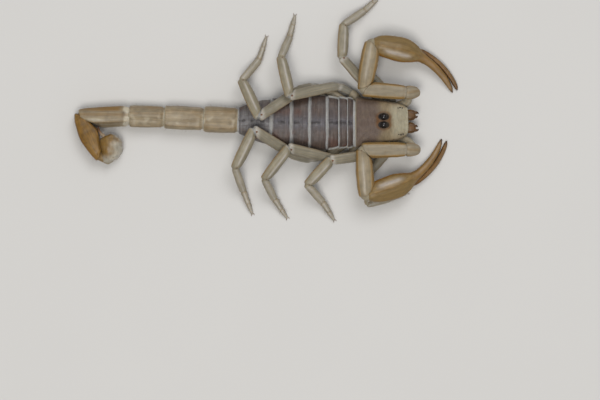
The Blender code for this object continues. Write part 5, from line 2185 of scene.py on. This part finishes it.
@dataclass
class WalkingLeg(Part):
    """One leg: thigh with its ring at the root, shank, shin and foot, and two claws.

    ring, ankle and toe are shares of the thigh's and the foot's length. claws holds a side, a reach
    and a thickness for each claw and for the spur.
    """

    side: Side
    pair: int
    rows: int = 84
    columns: int = 48
    ring: float = 0.2
    ankle: float = 0.545
    toe: float = 0.79
    claws: tuple[Triple, ...] = ((1, 0.5, 0.06), (-1, 0.5, 0.06), (0, 0.26, 0.045))

    @property
    def name(self) -> str:
        """Start of the names of its nodes and pieces."""
        return f"leg_{self.side.word}_{self.pair}"

    def build(self) -> None:
        """Build the leg from the body outwards."""
        solids = {part: Solid(f"{self.name}_{part}") for part in ("femur", "patella", "foot")}
        near = np.array((min(11.0, max(4.0, solids["femur"].centre[0] + 3.0)), 0.0, 1.0))
        lines = {}
        for part, solid in solids.items():
            lines[part] = Line.straight(solid, near) if part == "patella" else Line.through(solid, near, 14)
            near = lines[part].points[-1]
        knee = lines["femur"].points[-1]
        back = unit(np.cross(knee - lines["femur"].points[60], lines["patella"].points[-1] - knee))
        back = back if back[2] > 0 else -back
        thigh, shank, foot = (
            Shell.wrap(solid, lines[part], back, self.rows, self.columns, 13.0, 0.14, slanted=part != "foot")
            for part, solid in solids.items()
        )
        self.thigh(thigh.stretch(0.0, 0.2).round_off(0.3, 0.5))
        self.shank(shank.stretch(0.2, 0.2).round_off(0.5, 0.45))
        self.foot(foot.stretch(0.2, 0.0).round_off(0.4, 0.0))
        self.build_claws(foot.line)

    def thigh(self, shell: Shell) -> None:
        """Shape and show the femur, with the trochanter as its first stretch.

        Args:
            shell: The piece.
        """
        share = shell.share
        shell.push(-0.1 * bell(share - self.ring, 0.02) + 0.012 * shell.waves(300 + self.pair, 0.6))
        keels = Ridge((0.03, 0.47), 0.05, 0.1, 0.24, 0.6, start=0.24)
        shell.ridge(keels, Ridge((BACK, BELLY), 0.03, 0.14, start=0.24)).keep_above_floor()
        lines = np.cos(shell.arc_from(BACK) * 2 * pi / 0.42)
        shell.tint("mark", 0.28 + 0.4 * ease(share, 0.5, 0.1) + 0.22 * lines)
        shell.tint("pale", 0.75 * ease(share, 0.9, 0.97)).tint("pale", 0.5 * bell(share - self.ring, 0.03))
        self.model.dress(f"{self.name}_thigh", shell, LEG, f"{self.name}_femur", bulge=0.07)
        coat = self.model.coats["legs"]
        for place in (0.03, 0.47, 0.75):
            coat.line_up(shell, place, 0.0, 0.7, (0.25, 0.5), 0.024, tone=0.15)
            if place < 0.5:
                self.model.granules.along(shell, place, 0.25, 0.036, 0.0, 0.26, 0.94)
        coat.grow(shell, 1, 40, (0.15, 0.3))
        for place in (BACK, BELLY):
            self.model.knuckles.knob(shell, 0.972, place, 0.17, 0.5)

    def shank(self, shell: Shell) -> None:
        """Shape and show the patella: a pale streak, partly a painted highlight, between golden edges.

        Args:
            shell: The piece.
        """
        share = shell.share
        shell.push(0.012 * shell.waves(320 + self.pair, 0.6))
        shell.ridge(Ridge((0.02, 0.48), 0.05, 0.1, 0.24, 0.8), Ridge(BACK, 0.07, 0.22), Ridge(BELLY, 0.04, 0.2))
        shell.keep_above_floor()
        # Pale streak along the back: partly the pale keel's own colour, partly a painted highlight.
        shell.tint("pale", 0.95 * shell.stripe(BACK, 0.17) * ease(share, 0.06, 0.2) * ease(share, 0.97, 0.8))
        shell.tint("rim", 0.6 * ease(shell.away(0.0, 0.5), 0.34, 0.1) * ease(share, 0.02, 0.15))
        shell.tint("pale", 0.7 * ease(share, 0.06, 0.0))
        self.model.dress(f"{self.name}_shank", shell, LEG, f"{self.name}_patella", bulge=0.07)
        coat = self.model.coats["legs"]
        for place in (0.02, 0.48, 0.75):
            coat.line_up(shell, place, 0.0, 0.6, (0.25, 0.55), 0.024, tone=0.15)
        coat.grow(shell, 1, 40, (0.15, 0.3))
        self.model.knuckles.knob(shell, 0.95, BACK, 0.1, 0.55)

    def foot(self, shell: Shell) -> None:
        """Shape and show shin and foot: joints, and combs of long hairs.

        Args:
            shell: The piece.
        """
        share, ankle, toe = shell.share, self.ankle, self.toe
        joints = bell(share - ankle, 0.018) + 0.8 * bell(share - toe, 0.014)
        shell.push(-0.1 * joints + 0.03 * (bell(share - ankle + 0.045, 0.03) + bell(share - toe + 0.04, 0.03)))
        shell.ridge(Ridge(BACK, 0.03, 0.14, end=0.5), Ridge(0.0, 0.03, 0.1, 0.24, 0.4, end=0.52)).keep_above_floor()
        shell.tint("pale", 0.2 + 0.45 * shell.stripe(BACK, 0.18))
        shell.tint("rim", 0.4 * ease(shell.away(0.0, 0.5), 0.25, 0.05) * ease(share, ankle, ankle - 0.1))
        shell.tint("rim", 0.5 * joints)
        self.model.dress(f"{self.name}_foot", shell, LEG, f"{self.name}_foot")
        coat = self.model.coats["legs"]
        for place in (0.0, 0.5, 0.06, 0.44):
            coat.line_up(shell, place, 0.0, 0.3, (0.4, 0.75), 0.022, 38.0, 0.0, 0.5, 0.8)
        for place in (0.02, 0.48, 0.3, 0.7):
            coat.line_up(shell, place, 0.0, 0.45, (0.3, 0.55), 0.024, 35.0, 0.1, 0.08, 0.95)
        coat.grow(shell, 1, 50, (0.15, 0.3), lean=45.0)

    def build_claws(self, line: Line) -> None:
        """Build two curved claws and a short spur at the tip.

        Args:
            line: The foot's line.
        """
        tip = line.points[-1]
        level = unit(unit(tip - line.points[-20]) * (1, 1, 0))
        aside = np.cross(UP, level)
        pieces = []
        for sign, reach, thick in self.claws:
            moves = ((0, 0, 0), (0.4, 0.26, 0.05), (0.75, 0.4, 0.01), (0.95, 0.36, -0.09))
            start = tip - level * 0.18 + aside * sign * 0.06
            points = np.array([
                start + level * reach * ahead + aside * sign * reach * out + UP * rise for ahead, out, rise in moves
            ])
            points[:, 2] = np.maximum(points[:, 2], thick + 0.005)
            table = ((0, *(thick,) * 3), (0.5, thick * 0.75, thick * 0.8, thick * 0.8), (1, *(0.012,) * 3))
            claw = Shell.sweep(Line(points, 0.05), table, UP, 18, 12)
            pieces.append(claw.tint("mark", ease(claw.share, 0.2, 0.6)).mesh("claw", 0.02))
        self.model.show(f"{self.name}_claws", joined(f"{self.name}_claws", pieces), STING)


@dataclass
class JointSkin(Part):
    """One soft skin inside every plate, seen at the joints and between the rings.

    The shares are how far inside the plates it lies. fold_bulge is how far it stands out beside the
    first rings, form_step how many columns of a piece its form skips, and deep how many rows inside a
    piece a bridge starts.
    """

    voxel: float = 0.17
    limb_share: float = 0.8
    ring_share: float = 0.93
    fold_bulge: float = 0.13
    fold_rings: int = 5
    form_rows: int = 26
    form_step: int = 4
    bridge_share: float = 0.88
    bridge_rows: int = 9
    bridge_sides: int = 16
    deep: int = 8
    tail_from: float = -12.0
    hook_from: float = -33.5

    def build(self) -> None:
        """Join the inner forms and bridge the joints, then remesh them as one skin."""
        shells = self.model.shells
        plates = [name for name in shells if not name.startswith(("jaw", "comb", "sting"))]
        inner = [self.shrink(name, shells[name]) for name in plates]
        bridges = [self.bridge(shells[one], shells[two]) for one, two in self.chains()]
        skin = self.remesh(self.join([*inner, *bridges]))
        flat = np.zeros(len(skin.vertices) * 3)
        skin.vertices.foreach_get("co", flat)
        points = flat.reshape(-1, 3) / MM
        points[:, 2] = np.maximum(points[:, 2], 0.02)
        skin.vertices.foreach_set("co", (points * MM).reshape(-1))
        x, y = points[:, 0], np.abs(points[:, 1])
        limbs = np.max([ease(x, self.tail_from, self.tail_from - 2), ease(y, 4.0, 5.0), ease(x, 5.6, 6.5)], axis=0)
        hook = ease(x, self.hook_from, self.hook_from - 1.5)
        for mark in MARKS:
            put_values(skin, mark, {"mark": limbs, "rim": hook}.get(mark, 0 * limbs))
        put_values(skin, "lay", points)
        self.model.show("joint_skin", skin, SKIN)

    def shrink(self, name: str, shell: Shell) -> Array:
        """Make the form inside one piece.

        Args:
            name: The piece's name.
            shell: The piece.

        Returns:
            Rings of points.
        """
        rows = np.linspace(0, len(shell.shares) - 1, self.form_rows).astype(int)
        ring = shell.points[rows][:, ::self.form_step]
        middle = ring.mean(1, keepdims=True)
        abdomen = name.startswith("back")
        spread = (ring - middle) * (self.ring_share if abdomen else self.limb_share)
        if abdomen and int(name[-1]) <= self.fold_rings:
            height = spread[..., 2] / spread[..., 2].max(1, keepdims=True)
            spread[..., 1] *= 1 + self.fold_bulge * ease(height, 0.3, 0.0)
            spread[..., 2] *= 0.95
        return middle + spread

    def chains(self) -> list[Sequence[str]]:
        """List the pieces that meet at each joint.

        Returns:
            Pairs of names.
        """
        runs = [["breast_plate", "back_plate_4"], [f"tail_ring_{k}" for k in range(1, 6)] + ["venom_bulb"]]
        for side in Side:
            arm = ("hip", "root_ring", "upper_arm", "forearm", "hand")
            runs.append([f"pincer_{side.word}_{part}" for part in arm])
            for pair in range(1, 5):
                leg = f"{side.word}_{pair}"
                runs.append([f"hip_{leg}", *(f"leg_{leg}_{part}" for part in ("thigh", "shank", "foot"))])
        return [pair for run in runs for pair in zip(run, run[1:])]

    def bridge(self, one: Shell, two: Shell) -> Array:
        """A short barrel from inside one piece to inside the next.

        Args:
            one: The piece nearer to the body.
            two: The next piece.

        Returns:
            Rings of points.
        """
        options = [
            (float(np.linalg.norm(one.points[i].mean(0) - two.points[j].mean(0))), i, j)
            for i, j in ((-1, 0), (-1, -1), (0, 0), (0, -1))
        ]
        _, i, j = min(options, key=lambda option: option[0])
        rings = [shell.points[row * (self.deep + 1) if row else self.deep] for shell, row in ((one, i), (two, j))]
        middles = [ring.mean(0) for ring in rings]
        sizes = [np.linalg.norm(ring - middle, axis=1).min() for ring, middle in zip(rings, middles)]
        line = Line([middles[0], one.points[i].mean(0), two.points[j].mean(0), middles[1]], 0.08)
        shares = np.linspace(0, 1, self.bridge_rows)
        centres, across, lift = Shell.frames(line, shares, UP)
        size = np.interp(shares, (0, 1), sizes) * self.bridge_share
        return centres[:, None] + fan(self.bridge_sides, across, lift) * size[:, None, None]

    @staticmethod
    def join(forms: Sequence[Array]) -> bpy.types.Mesh:
        """Make one mesh of closed forms.

        Args:
            forms: Rings of points, for each form.

        Returns:
            The mesh.
        """
        faces, total = [], 0
        for form in forms:
            index = total + np.arange(form[..., 0].size).reshape(form.shape[:2])
            faces += ring_faces(index) + [index[0, ::-1].tolist(), index[-1].tolist()]
            total += index.size
        return make_mesh("joint_skin_form", np.concatenate([form.reshape(-1, 3) for form in forms]), faces)

    def remesh(self, mesh: bpy.types.Mesh) -> bpy.types.Mesh:
        """Melt the closed forms of a mesh into one smooth skin.

        Args:
            mesh: The forms.

        Returns:
            The skin.
        """
        thing = bpy.data.objects.new("joint_skin_form", mesh)
        bpy.context.scene.collection.objects.link(thing)
        remesh = thing.modifiers.new("remesh", "REMESH")
        remesh.mode = "VOXEL"
        remesh.voxel_size = self.voxel * MM
        thing.modifiers.new("smooth", "SMOOTH").iterations = 3
        depsgraph = bpy.context.evaluated_depsgraph_get()
        skin = bpy.data.meshes.new_from_object(thing.evaluated_get(depsgraph))
        bpy.data.objects.remove(thing)
        skin.name = "joint_skin"
        skin.shade_smooth()
        return skin


@dataclass
class RingFolds(Part):
    """The pale folds of skin between the rings of the abdomen and of the straight part of the tail."""

    share: float = 0.975
    rows: int = 16
    depth: int = 5
    columns: int = 144
    tail_from: int = 9

    def build(self) -> None:
        """Build a fold wherever two rings meet."""
        names = ["head_shield", *(f"back_plate_{k}" for k in range(1, 8)), *(f"tail_ring_{k}" for k in range(1, 5))]
        for k, (one, two) in enumerate(zip(names, names[1:]), start=1):
            first = self.model.shells[one].points[-self.depth]
            last = self.model.shells[two].points[self.depth - 1]
            if len(first) != len(last):
                first, last = self.align(first, last)
            shares = np.linspace(0, 1, self.rows)
            blend = shares[:, None, None]
            ring = first[None] * (1 - blend) + last[None] * blend
            fold = Shell(Line(ring.mean(1)), shares, ring)
            fold.narrow(self.share + 0.012 * np.sin(pi * shares) + 0.006 * np.cos(shares * 6 * pi))
            fold.push(0.01 * fold.waves(400 + k, 0.35, (2.0, 0.6, 1.0)))
            fold.tint("pale", 0.5 + 0.5 * ease(fold.waves(410 + k, 0.6), -0.5, 0.8))
            if k >= self.tail_from:
                fold.tint("mark", 1.0).tint("pale", -0.5)
            self.model.dress(f"ring_fold_{k}", fold, SKIN)

    def align(self, one: Array, two: Array) -> tuple[Array, Array]:
        """Give two loops the same number of points, the same turn and the same start.

        Args:
            one: The first loop.
            two: The second loop.

        Returns:
            Both loops.
        """
        even = np.arange(self.columns) / self.columns
        one, two = (walk(np.concatenate([loop, loop[:1]]), even) for loop in (one, two))
        turns = [np.cross(loop - loop.mean(0), np.roll(loop, -1, 0) - loop.mean(0)).sum(0)[0] for loop in (one, two)]
        two = two[::-1] if turns[0] * turns[1] < 0 else two
        start = int(np.argmin([np.linalg.norm(one - np.roll(two, k, 0)) for k in range(len(two))]))
        return one, np.roll(two, start, 0)


@dataclass
class Studio:
    """Pale floor, soft light and the camera straight above."""

    middle: Pair = (-3.2, -12.32)
    distance: float = 533.3
    lens: float = 200.0
    floor_size: float = 1400.0
    floor_parts: int = 24
    sky: Colour = (0.9, 0.92, 0.95)
    sky_strength: float = 0.36
    lights: tuple[tuple[str, Triple, float, float, Colour], ...] = (
        ("key", (-70.0, -230.0, 640.0), 300.0, 2.45, (1.0, 0.985, 0.96)),
        ("fill", (120.0, 360.0, 560.0), 380.0, 1.9, (0.97, 0.98, 1.0)),
    )

    def build(self) -> None:
        """Set up the room."""
        self.floor()
        for light in self.lights:
            self.light(*light)
        world = bpy.data.worlds.new("room")
        world.use_nodes = True
        background = world.node_tree.nodes["Background"]
        background.inputs["Color"].default_value = (*self.sky, 1.0)
        background.inputs["Strength"].default_value = self.sky_strength
        bpy.context.scene.world = world
        bpy.context.scene.view_settings.view_transform = "Standard"
        self.camera()

    def floor(self) -> None:
        """A broad flat floor."""
        even = np.linspace(-self.floor_size / 2, self.floor_size / 2, self.floor_parts + 1)
        x, y = np.meshgrid(even, even)
        index = np.arange(x.size).reshape(x.shape)
        corners = (index[:-1, :-1], index[:-1, 1:], index[1:, 1:], index[1:, :-1])
        faces = np.stack(corners, -1).reshape(-1, 4).tolist()
        mesh = make_mesh("floor", np.stack([x, y, 0 * x], -1), faces, face_out=False)
        mesh.shade_flat()
        mesh.materials.append(FLOOR.material())
        floor = bpy.data.objects.new("floor", mesh)
        bpy.context.scene.collection.objects.link(floor)

    def light(self, name: str, place: Triple, size: float, power: float, colour: Colour) -> None:
        """A soft square light that faces the animal.

        Args:
            name: Its name.
            place: Where it stands, in millimetres.
            size: Its side.
            power: Its power in watts.
            colour: Its colour.
        """
        data = bpy.data.lights.new(name, "AREA")
        data.size, data.energy, data.color = size * MM, power, colour
        lamp = bpy.data.objects.new(name, data)
        lamp.location = [part * MM for part in place]
        x, y, z = unit(np.array((self.middle[0], 0.0, 2.0)) - place)
        lamp.rotation_euler = (float(np.arccos(-z)), 0.0, float(np.arctan2(y, x)) - pi / 2)
        bpy.context.scene.collection.objects.link(lamp)

    def camera(self) -> None:
        """The camera, straight above with a long lens."""
        data = bpy.data.cameras.new("camera")
        data.lens, data.sensor_width = self.lens, 36.0
        data.clip_start, data.clip_end = 0.01, 20.0
        camera = bpy.data.objects.new("camera", data)
        camera.location = [part * MM for part in (*self.middle, self.distance)]
        bpy.context.scene.collection.objects.link(camera)
        bpy.context.scene.camera = camera


def main() -> None:
    """Build the whole model, piece by piece."""
    logging.basicConfig(level=logging.INFO, format="%(name)s %(message)s")
    model = Model()
    for part in (HeadShield, Jaws, BackPlates, Combs, Tail):
        part(model).build()
    for side, joints in PINCERS.items():
        PincerLimb(model, side, *joints).build()
        for pair in range(1, 5):
            WalkingLeg(model, side, pair).build()
    for part in (Underside, JointSkin, RingFolds):
        part(model).build()
    model.show("granules", model.granules.mesh("granules"), GRANULE)
    model.show("knuckles", model.knuckles.mesh("knuckles"), KNUCKLE)
    for name, coat in model.coats.items():
        model.show(f"bristles_{name}", coat.mesh(f"bristles_{name}"), BRISTLE)
    Studio().build()


if __name__ == "__main__":
    main()
